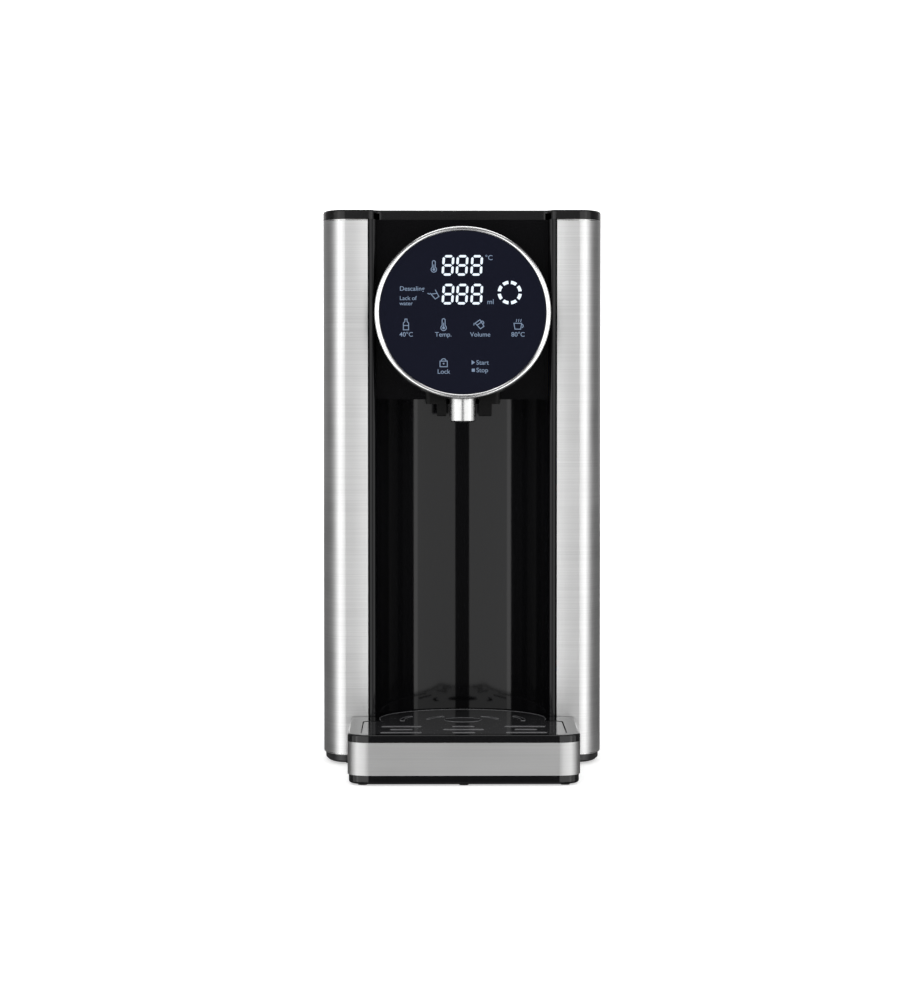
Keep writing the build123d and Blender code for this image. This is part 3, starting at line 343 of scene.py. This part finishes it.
def dressNodes():
    for part in frame["record"]["subparts"]:
        node = frame["nodes"][part["node"]]
        node.data.materials.clear()
        node.data.materials.append(finishes[ownFinish.get(part["node"], part["material_slot"])])


dressNodes()
print("finishes ready")


def meshPiece(name, mesh, body, slotName, finish=None):
    mesh.materials.clear()
    mesh.materials.append(finishes[finish or slotName])
    piece = bpy.data.objects.new(name, mesh)
    scene.collection.objects.link(piece)
    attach(piece, body)
    return piece


# display graphics, drawn flat in millimetres from the ring's middle and then laid on the glass

displaySet = {
    "tilt": 11,
    "lift": 0.03,
    "ink": 0.02,
    "weld": 0.0005,
    "digitSize": (8.0, 14.3),
    "digitBar": 1.65,
    "digitGap": 0.3,
    "slant": 0.07,
    "digitX": (-9.9, -0.4, 9.5),
    "digitRows": (32.2, 12.3),
    "ring": (31.8, 13.4, 6.0, 8.2),
    "ringParts": 8,
    "ringGap": 7,
    "line": 0.55,
    "thinLine": 0.44,
    "bold": 0.02,
}

legendSet = {
    "centred": (
        ("°C", 17.8, 37.4, 4.8),
        ("ml", 18.8, 6.9, 4.8),
        ("40°C", -38.1, -15.6, 4.4),
        ("Temp.", -13.1, -15.6, 4.4),
        ("Volume", 11.8, -15.6, 4.4),
        ("80°C", 37.3, -15.6, 4.4),
        ("Lock", -12.9, -41.1, 4.4),
    ),
    "fromLeft": (
        ("Descaling", -42.7, 16.0, 4.4),
        ("Lack of", -42.7, 9.4, 3.95),
        ("water", -42.7, 5.8, 3.8),
        ("Start", 9.0, -34.9, 4.4),
        ("Stop", 9.0, -40.1, 4.4),
    ),
    "symbols": (
        ("thermometer", -19.5, 31.6, 7.6, 0),
        ("tumbler", -18.8, 12.0, 5.8, 0.6),
        ("bottle", -38.3, -8.6, 7.4, 0),
        ("thermometer", -12.9, -8.6, 7.8, 0),
        ("jug", 11.6, -8.6, 6.2, 0.62),
        ("cup", 37.4, -8.8, 8.4, 0),
        ("padlock", -12.9, -34.2, 8.2, 0),
    ),
    "startMark": ((5.9, -36.3), (8.2, -34.7), (5.9, -33.1)),
    "stopMark": ((6.0, -41.1), (8.1, -41.1), (8.1, -39.0), (6.0, -39.0)),
}


def polygon(shape, points):
    shape.faces.new([shape.verts.new((x, y, 0)) for x, y in points])


def strip(shape, points, width, closed=False):
    # flat line of even width along the points
    count = len(points)
    spots = [Vector(point) for point in points]
    sides = []
    for index, spot in enumerate(spots):
        before = spots[index - 1] if index or closed else spot
        after = spots[(index + 1) % count] if index < count - 1 or closed else spot
        into = (spot - before).normalized() if (spot - before).length else (after - spot).normalized()
        out = (after - spot).normalized() if (after - spot).length else into
        across = Vector((-(into + out).y, (into + out).x)).normalized()
        lean = max(0.5, across.dot(Vector((-into.y, into.x))))
        sides.append((spot + across * width / 2 / lean, spot - across * width / 2 / lean))
    for index in range(count if closed else count - 1):
        left, right = sides[index], sides[(index + 1) % count]
        polygon(shape, [left[1], right[1], right[0], left[0]])


def onCircle(x, y, radius, angle):
    turn = math.radians(angle)
    return x + radius * math.cos(turn), y + radius * math.sin(turn)


def arcPoints(x, y, radius, start, end, steps=16):
    return [onCircle(x, y, radius, start + (end - start) * step / steps) for step in range(steps + 1)]


def raiseFaces(shape, lift):
    # gives flat faces a thickness along lift
    raised = bmesh.ops.extrude_face_region(shape, geom=list(shape.faces))
    moved = [item for item in raised["geom"] if isinstance(item, bmesh.types.BMVert)]
    bmesh.ops.translate(shape, verts=moved, vec=lift)
    bmesh.ops.recalc_face_normals(shape, faces=shape.faces)


def sevenSegments(shape, x, y):
    width, height = displaySet["digitSize"]
    bar = displaySet["digitBar"]
    gap = bar * displaySet["digitGap"]
    half = bar / 2
    lean = displaySet["slant"]
    across, up = width - bar, (height - bar) / 2
    bars = [((-across / 2, level), (across / 2, level)) for level in (-up, 0, up)]
    bars += [((side, low), (side, low + up)) for side in (-across / 2, across / 2) for low in (-up, 0)]
    for start, end in bars:
        a, b = Vector(start), Vector(end)
        way = (b - a).normalized()
        side = Vector((-way.y, way.x)) * half
        a, b = a + way * gap, b - way * gap
        near, far = a + way * half, b - way * half
        outline = [a, near - side, far - side, b, far + side, near + side]
        polygon(shape, [(x + p.x + p.y * lean, y + p.y) for p in outline])


def writing(shape, words, x, y, size, align="CENTER"):
    curve = bpy.data.curves.new("words", "FONT")
    curve.body = words
    curve.size = size
    curve.align_x = align
    curve.align_y = "CENTER"
    curve.offset = displaySet["bold"]
    holder = bpy.data.objects.new("words", curve)
    scene.collection.objects.link(holder)
    bpy.context.view_layer.update()
    flat = bpy.data.meshes.new_from_object(holder.evaluated_get(bpy.context.evaluated_depsgraph_get()))
    flat.transform(Matrix.Translation((x, y, 0)))
    shape.from_mesh(flat)
    bpy.data.objects.remove(holder)
    bpy.data.meshes.remove(flat)


# strokes of each symbol, as shares of its size about its middle
symbols = {
    "thermometer": {
        "open": [
            arcPoints(0, -0.3, 0.24, 120, 420),
            [(-0.13, -0.1), (-0.13, 0.38)],
            [(0.13, -0.1), (0.13, 0.38)],
            arcPoints(0, 0.38, 0.13, 0, 180, 8),
            [(0, -0.3), (0, 0.15)],
        ],
        "filled": [arcPoints(0, -0.3, 0.12, 0, 345, 12)],
    },
    "tumbler": {
        "open": [
            [(-0.36, 0.46), (-0.26, -0.46), (0.26, -0.46), (0.36, 0.46)],
            [(-0.34, 0.3), (0.3, -0.02)],
            [(-0.62, 0.62), (-0.46, 0.36)],
        ],
    },
    "bottle": {
        "closed": [
            [(-0.1, 0.5), (-0.1, 0.28), (-0.24, 0.12), (-0.24, -0.5)]
            + [(0.24, -0.5), (0.24, 0.12), (0.1, 0.28), (0.1, 0.5)],
        ],
        "open": [[(-0.24, -0.1), (0.24, -0.1)]],
    },
    "jug": {
        "closed": [[(-0.34, 0.42), (-0.24, -0.42), (0.24, -0.42), (0.3, 0.42)]],
        "open": [
            arcPoints(0.28, 0.02, 0.2, -80, 80, 10),
            [(-0.3, 0.12), (0.26, 0.12)],
            [(-0.6, 0.3), (-0.42, 0.5)],
        ],
    },
    "cup": {
        "closed": [[(-0.34, 0.12), (-0.26, -0.36), (0.2, -0.36), (0.28, 0.12)]],
        "open": [arcPoints(0.27, -0.1, 0.14, -80, 80, 8)],
        "thin": [[(steam, 0.22), (steam + 0.05, 0.46)] for steam in (-0.16, 0.02, 0.2)],
    },
    "padlock": {
        "closed": [[(-0.3, 0.05), (-0.3, -0.42), (0.3, -0.42), (0.3, 0.05)]],
        "open": [arcPoints(0, 0.05, 0.2, 0, 180, 10)],
        "filled": [arcPoints(0, -0.16, 0.07, 0, 330, 11)],
    },
}


def drawSymbol(shape, name, x, y, size, turn):
    c, s = math.cos(turn), math.sin(turn)
    for kind, strokes in symbols[name].items():
        for stroke in strokes:
            points = [(x + size * (px * c - py * s), y + size * (px * s + py * c)) for px, py in stroke]
            if kind == "filled":
                polygon(shape, points)
            else:
                width = displaySet["thinLine"] if kind == "thin" else displaySet["line"]
                strip(shape, points, width, kind == "closed")


def segmentRing(shape, x, y, inner, outer):
    pitch = 360 / displaySet["ringParts"]
    for part in range(displaySet["ringParts"]):
        start, end = part * pitch + displaySet["ringGap"], (part + 1) * pitch - displaySet["ringGap"]
        polygon(shape, arcPoints(x, y, outer, start, end, 6) + arcPoints(x, y, inner, end, start, 6))


def drawDigits(shape):
    for x in displaySet["digitX"]:
        for y in displaySet["digitRows"]:
            sevenSegments(shape, x, y)
    segmentRing(shape, *displaySet["ring"])


def drawLegends(shape):
    for words, x, y, size in legendSet["centred"]:
        writing(shape, words, x, y, size)
    for words, x, y, size in legendSet["fromLeft"]:
        writing(shape, words, x, y, size, "LEFT")
    for name, x, y, size, turn in legendSet["symbols"]:
        drawSymbol(shape, name, x, y, size, turn)
    polygon(shape, legendSet["startMark"])
    polygon(shape, legendSet["stopMark"])


def layOnGlass(shape, name, finish):
    tilt = math.radians(displaySet["tilt"])
    low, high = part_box("display_glass")
    outward = Vector((0, -math.cos(tilt), math.sin(tilt)))
    upward = Vector((0, math.sin(tilt), math.cos(tilt)))
    # the box of the leaning disc is deeper than its glass is thick, by the disc's own lean
    thickness = (high.y - low.y - (high.x - low.x) * math.sin(tilt)) / math.cos(tilt)
    face = (low + high) / 2 + outward * (thickness / 2 + displaySet["lift"] * mm)
    turn = Matrix((Vector((1, 0, 0)), upward, outward)).transposed().to_4x4()
    bmesh.ops.remove_doubles(shape, verts=shape.verts, dist=displaySet["weld"])
    raiseFaces(shape, (0, 0, displaySet["ink"]))
    mesh = bpy.data.meshes.new(name)
    shape.to_mesh(mesh)
    shape.free()
    mesh.transform(Matrix.Translation(face) @ turn @ Matrix.Scale(mm, 4))
    meshPiece(name, mesh, "housing", "dark_glass", finish)


graphics = {"displayDigits": (drawDigits, "led_digits"), "displayLegends": (drawLegends, "led_legends")}
for name, (draw, finish) in graphics.items():
    shape = bmesh.new()
    draw(shape)
    layOnGlass(shape, name, finish)
print("display graphics ready")

# node trees for tubes that follow a path and for things that repeat


def newTree(name, inputs):
    # keys holds each input's identifier, by which a modifier sets it
    tree = bpy.data.node_groups.new(name, "GeometryNodeTree")
    tree.interface.new_socket("Geometry", in_out="INPUT", socket_type="NodeSocketGeometry")
    keys = {}
    for label, kind in inputs.items():
        keys[label] = tree.interface.new_socket(label, in_out="INPUT", socket_type=kind).identifier
    tree.interface.new_socket("Geometry", in_out="OUTPUT", socket_type="NodeSocketGeometry")
    return tree, keys, tree.nodes.new("NodeGroupInput"), tree.nodes.new("NodeGroupOutput")


def chain(tree, *steps):
    for source, target in zip(steps, steps[1:]):
        tree.links.new(source.outputs[0], target.inputs[0])


def makeTubeTree():
    inputs = {"Radius": "NodeSocketFloat", "Sides": "NodeSocketInt", "Finish": "NodeSocketMaterial"}
    tree, keys, given, result = newTree("tubeOnPath", inputs)
    path = tree.nodes.new("GeometryNodeMeshToCurve")
    ring = tree.nodes.new("GeometryNodeCurvePrimitiveCircle")
    tube = tree.nodes.new("GeometryNodeCurveToMesh")
    tube.inputs["Fill Caps"].default_value = True
    smooth = tree.nodes.new("GeometryNodeSetShadeSmooth")
    real = tree.nodes.new("GeometryNodeRealizeInstances")
    paint = tree.nodes.new("GeometryNodeSetMaterial")
    chain(tree, given, path, tube, smooth, real, paint, result)
    tree.links.new(ring.outputs["Curve"], tube.inputs["Profile Curve"])
    tree.links.new(given.outputs["Radius"], ring.inputs["Radius"])
    tree.links.new(given.outputs["Sides"], ring.inputs["Resolution"])
    tree.links.new(given.outputs["Finish"], paint.inputs["Material"])
    return tree, keys


def makeRepeatTree():
    inputs = {"Unit": "NodeSocketObject", "Finish": "NodeSocketMaterial"}
    tree, keys, given, result = newTree("repeatOnPoints", inputs)
    unit = tree.nodes.new("GeometryNodeObjectInfo")
    turn = tree.nodes.new("GeometryNodeInputNamedAttribute")
    turn.data_type = "FLOAT_VECTOR"
    turn.inputs["Name"].default_value = "turn"
    copies = tree.nodes.new("GeometryNodeInstanceOnPoints")
    real = tree.nodes.new("GeometryNodeRealizeInstances")
    paint = tree.nodes.new("GeometryNodeSetMaterial")
    chain(tree, given, copies, real, paint, result)
    tree.links.new(given.outputs["Unit"], unit.inputs["Object"])
    tree.links.new(unit.outputs["Geometry"], copies.inputs["Instance"])
    tree.links.new(turn.outputs["Attribute"], copies.inputs["Rotation"])
    tree.links.new(given.outputs["Finish"], paint.inputs["Material"])
    return tree, keys


tubeTree, tubeKeys = makeTubeTree()
repeatTree, repeatKeys = makeRepeatTree()


def runTree(tree, keys, mesh, values):
    # runs the tree on a mesh and gives back a plain mesh
    holder = bpy.data.objects.new("holder", mesh)
    scene.collection.objects.link(holder)
    modifier = holder.modifiers.new("nodes", "NODES")
    modifier.node_group = tree
    for label, value in values.items():
        modifier[keys[label]] = value
    bpy.context.view_layer.update()
    made = bpy.data.meshes.new_from_object(holder.evaluated_get(bpy.context.evaluated_depsgraph_get()))
    bpy.data.objects.remove(holder)
    return made


def tubes(name, paths, radius, body, slotName, finish=None, sides=8):
    # paths in millimetres, each a list of points and whether it closes
    verts, edges = [], []
    for points, closed in paths:
        first = len(verts)
        verts += [tuple(value * mm for value in point) for point in points]
        edges += [(first + step, first + step + 1) for step in range(len(points) - 1)]
        if closed:
            edges.append((len(verts) - 1, first))
    mesh = bpy.data.meshes.new(name)
    mesh.from_pydata(verts, edges, [])
    values = {"Radius": radius * mm, "Sides": sides, "Finish": finishes[finish or slotName]}
    return meshPiece(name, runTree(tubeTree, tubeKeys, mesh, values), body, slotName, finish)


def repeated(name, unit, places, body, slotName, finish=None):
    # places in millimetres, each with its turn about X, Y and Z in degrees
    mesh = bpy.data.meshes.new(name)
    mesh.from_pydata([tuple(value * mm for value in spot) for spot, _ in places], [], [])
    turns = mesh.attributes.new("turn", "FLOAT_VECTOR", "POINT")
    for index, (_, turn) in enumerate(places):
        turns.data[index].vector = [math.radians(angle) for angle in turn]
    sample = bpy.data.objects.new("unit", unit)
    scene.collection.objects.link(sample)
    values = {"Unit": sample, "Finish": finishes[finish or slotName]}
    made = runTree(repeatTree, repeatKeys, mesh, values)
    bpy.data.objects.remove(sample)
    return meshPiece(name, made, body, slotName, finish)


def block(size):
    # box about the origin, its size in millimetres
    shape = bmesh.new()
    bmesh.ops.create_cube(shape, size=1.0)
    bmesh.ops.scale(shape, vec=Vector(size) * mm, verts=shape.verts)
    mesh = bpy.data.meshes.new("block")
    shape.to_mesh(mesh)
    shape.free()
    return mesh


def millimetres(node):
    # a node's box, its low and high corners in millimetres
    low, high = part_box(node)
    return low / mm, high / mm


# rolled hems along the tops and bottoms of the steel sides

hemSet = {
    "crest": 79.8,
    "edge": 64.7,
    "sag": 84.3,
    "corner": (16.0, 35.0),
    "radius": 0.45,
    "proud": 0.2,
    "inset": 0.1,
    "rearGap": 1.0,
    "steps": (8, 16),
}


def hemPath(side, level):
    # from the inner edge across the shallow front curve, round the corner and straight to the back
    low, high = millimetres("right_side_panel")
    rise, depth = hemSet["corner"]
    frontSteps, cornerSteps = hemSet["steps"]
    crest = Vector((hemSet["crest"], low.y - hemSet["proud"] + hemSet["radius"]))
    points = []
    for step in range(frontSteps + 1):
        x = hemSet["edge"] + (crest.x - hemSet["edge"]) * step / frontSteps
        points.append((x, crest.y + (crest.x - x) ** 2 / (2 * hemSet["sag"])))
    for step in range(1, cornerSteps + 1):
        angle = math.pi / 2 * step / cornerSteps
        reach = rise - hemSet["radius"]
        points.append((crest.x + reach * math.sin(angle), crest.y + depth * (1 - math.cos(angle))))
    points.append((high.x - hemSet["radius"], high.y - hemSet["rearGap"]))
    return [(side * x, y, level) for x, y in points]


def makeHems():
    low, high = millimetres("right_side_panel")
    inset = hemSet["radius"] + hemSet["inset"]
    paths = [(hemPath(side, level), False) for side in (-1, 1) for level in (high.z - inset, low.z + inset)]
    tubes("steelHems", paths, hemSet["radius"], "housing", "polished_steel", sides=10)


makeHems()
print("hems ready")

# raised rims round the plate's slots and hole, as moulded, finished lighter than the plate as a painted
# highlight along their edges

plateSet = {
    "rows": (-136.5, -119.5, -102.5),
    "columns": (-41, 0, 41),
    "lengths": (26, 14),
    "width": 2.2,
    "hole": (0, -63.5, 12.3),
    "arcs": ((24, 15, 55), (24, 125, 165), (41, -6, 30), (41, 150, 186)),
    "rim": 0.32,
    "backEdge": (0, -55.5, 56.4),
    "backSweep": (-8, 188),
}


def slotOutline(x, y, length):
    half, side = (length - plateSet["width"]) / 2, plateSet["width"] / 2 + plateSet["rim"]
    return arcPoints(x + half, y, side, -90, 90, 8) + arcPoints(x - half, y, side, 90, 270, 8)


def arcSlotOutline(x, y, radius, start, end):
    side = plateSet["width"] / 2 + plateSet["rim"]
    outer = arcPoints(x, y, radius + side, start, end, 12)
    inner = arcPoints(x, y, radius - side, end, start, 12)
    endCap = arcPoints(*onCircle(x, y, radius, end), side, end, end + 180, 6)
    startCap = arcPoints(*onCircle(x, y, radius, start), side, start + 180, start + 360, 6)
    return outer + endCap[1:-1] + inner + startCap[1:-1]


def makePlateRims():
    level = millimetres("drip_plate")[1].z
    rim = plateSet["rim"]
    outlines = []
    for row, y in enumerate(plateSet["rows"]):
        for column, x in enumerate(plateSet["columns"]):
            outlines.append(slotOutline(x, y, plateSet["lengths"][(row + column) % 2]))
    x, y, radius = plateSet["hole"]
    for sweep, start, end in plateSet["arcs"]:
        outlines.append(arcSlotOutline(x, y, sweep, start, end))
    outlines.append(arcPoints(x, y, radius + rim, 0, 360, 48)[:-1])
    backEdge = arcPoints(*plateSet["backEdge"], *plateSet["backSweep"], 64)
    paths = [([(px, py, level) for px, py in outline], True) for outline in outlines]
    paths.append(([(px, py, level) for px, py in backEdge], False))
    # the rims take a grey finish rather than the plate's gloss black, as a painted highlight
    tubes("plateRims", paths, rim, "drip_plate", "gloss_black", "rim_painted_highlight", sides=6)


makePlateRims()
print("plate rims ready")

# the valve's return spring, wound as a coil

springSet = {"wire": 0.45, "turns": 6, "steps": 20, "keep": 0.77}


def makeValveCoil():
    # the first and last turns lie flat, as a ground spring's do
    low, high = millimetres("valve_spring")
    centre = (low + high) / 2
    wire, steps = springSet["wire"], springSet["steps"]
    radius = (high.x - low.x) / 2 - wire
    rise = high.z - low.z - 2 * wire
    count = springSet["turns"] * steps
    path = []
    for step in range(count + 1):
        share = min(1, max(0, (step - steps) / (count - 2 * steps)))
        x, y = onCircle(centre.x, centre.y, radius, 360 * step / steps)
        path.append((x, y, low.z + wire + rise * share))
    coil = tubes("valveCoil", [(path, False)], wire, "tank_valve", "plain_steel")
    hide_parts("valve_spring")
    return coil, low


valveCoil, coilLow = makeValveCoil()
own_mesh(valveCoil)
print("valve coil ready")

# fill marks printed on both sides of the tank

markSet = {
    "bottom": 52.0,
    "litre": 97.0,
    "quarters": 11,
    "full": 2.9,
    "front": 112.0,
    "back": 128.0,
    "long": 12.0,
    "short": 6.0,
    "line": 0.8,
    "fullLine": 1.2,
    "gap": 3.0,
    "size": 7.0,
    "lift": 0.02,
    "ink": 0.12,
}


def drawTankScale(flat):
    reach, gap, size = markSet["long"], markSet["gap"], markSet["size"]
    for quarter in range(1, markSet["quarters"] + 1):
        level = markSet["bottom"] + markSet["litre"] * quarter / 4
        if quarter % 2 == 0:
            strip(flat, [(0, level), (reach, level)], markSet["line"])
            writing(flat, f"{quarter / 4:.1f}", reach + gap, level, size, "LEFT")
        else:
            strip(flat, [(0, level), (markSet["short"], level)], markSet["line"])
    level = markSet["bottom"] + markSet["litre"] * markSet["full"]
    writing(flat, "MAX", reach + gap, level, size, "LEFT")
    strip(flat, [(0, level), (reach, level)], markSet["fullLine"])


def makeTankMarks():
    # read from each side, so the left side's scale runs from its back end forwards
    high = millimetres("water_tank")[1]
    shape = bmesh.new()
    for side, start in ((-1, markSet["back"]), (1, markSet["front"])):
        flat = bmesh.new()
        drawTankScale(flat)
        raiseFaces(flat, (0, 0, markSet["ink"]))
        sheet = bpy.data.meshes.new("marks")
        flat.to_mesh(sheet)
        flat.free()
        turn = Matrix((Vector((0, side, 0)), Vector((0, 0, 1)), Vector((side, 0, 0)))).transposed().to_4x4()
        place = Vector((side * (high.x + markSet["lift"]), start, 0))
        sheet.transform(Matrix.Scale(mm, 4) @ Matrix.Translation(place) @ turn)
        shape.from_mesh(sheet)
        bpy.data.meshes.remove(sheet)
    mesh = bpy.data.meshes.new("tankMarks")
    shape.to_mesh(mesh)
    shape.free()
    meshPiece("tankMarks", mesh, "water_tank", "clear_plastic", "white_ink")


makeTankMarks()
print("tank marks ready")

# on and off marks on the mains rocker, laid on its curved face

rockerSet = {"spread": 4.2, "height": 3.2, "line": 0.7, "ring": 1.7, "lift": 0.03, "start": 5.0}


def makeRockerMarks():
    low, high = millimetres("power_rocker")
    centre = (low + high) / 2
    rocker = frame["nodes"]["power_rocker"]
    spread, half, line = rockerSet["spread"], rockerSet["height"] / 2, rockerSet["line"]
    lift = Vector((0, rockerSet["lift"] * mm, 0))
    shape = bmesh.new()
    strip(shape, arcPoints(spread, 0, rockerSet["ring"], 0, 345, 23), line, True)
    strip(shape, [(-spread, -half), (-spread, half)], line)
    for vert in shape.verts:
        start = Vector((centre.x - vert.co.x, high.y + rockerSet["start"], centre.z + vert.co.y)) * mm
        found, spot = rocker.ray_cast(start, Vector((0, -1, 0)))[:2]
        vert.co = spot + lift if found else start
    raiseFaces(shape, lift)
    mesh = bpy.data.meshes.new("rockerMarks")
    shape.to_mesh(mesh)
    shape.free()
    meshPiece("rockerMarks", mesh, "power_rocker", "satin_black", "white_ink")


makeRockerMarks()
print("rocker marks ready")

# dark crosses on the screw heads under the base, painted shade in place of their crossed recesses

screwSet = {"slot": (4.2, 0.9, 0.5), "head": 3.2, "turns": (35, 125), "proud": 0.1}


def makeScrewRecessShades():
    low, high = millimetres("base_screws")
    head, slot = screwSet["head"], screwSet["slot"]
    spots = [(x, y) for x in (low.x + head, high.x - head) for y in (low.y + head, high.y - head)]
    level = low.z + slot[2] / 2 - screwSet["proud"]
    places = [((x, y, level), (0, 0, turn)) for x, y in spots for turn in screwSet["turns"]]
    # the crosses are rubber-black blocks standing just proud of the heads, painted shade where the recesses'
    # hollows would be
    repeated("screwRecesses", block(slot), places, "housing", "plain_steel", "rubber")


makeScrewRecessShades()
print("screw recesses ready")

# wiring inside the casing

wireSet = {
    "radius": 0.9,
    "bend": 6,
    "bendSteps": 5,
    "wiresRed": (
        ((68, 30, 84), (68, 30, 60), (40, 30, 60), (8, 28, 60), (8, 28, 50)),
        ((70, 50, 180), (60, 60, 210), (60, 60, 316), (12, 57.5, 316), (12, 57.5, 312)),
        ((66, 10, 150), (50, 20, 190), (21, 36, 190)),
    ),
    "wiresBlue": (
        ((70, 34, 84), (70, 34, 57), (40, 34, 57), (4, 31, 57), (4, 31, 50)),
        ((73, 50, 184), (63, 62, 214), (63, 62, 319), (16, 57.5, 319), (16, 57.5, 312)),
        ((70, 0, 186), (60, 0, 230), (60, -20, 304), (50, -30, 304), (10, -36, 312), (8, -45, 312)),
    ),
}


def roundedPath(points):
    # the same path with its corners turned into arcs
    spots = [Vector(point) for point in points]
    steps = wireSet["bendSteps"]
    path = [spots[0]]
    for before, spot, after in zip(spots, spots[1:], spots[2:]):
        reach = min(wireSet["bend"], (spot - before).length / 2, (after - spot).length / 2)
        start = spot + (before - spot).normalized() * reach
        end = spot + (after - spot).normalized() * reach
        for step in range(steps + 1):
            share = step / steps
            path.append(start * (1 - share) ** 2 + spot * 2 * share * (1 - share) + end * share**2)
    path.append(spots[-1])
    return [tuple(spot) for spot in path]


def makeWires():
    for name, finish in (("wiresRed", "wire_red"), ("wiresBlue", "wire_blue")):
        paths = [(roundedPath(run), False) for run in wireSet[name]]
        tubes(name, paths, wireSet["radius"], "housing", "silicone", finish)


makeWires()
print("wires ready")
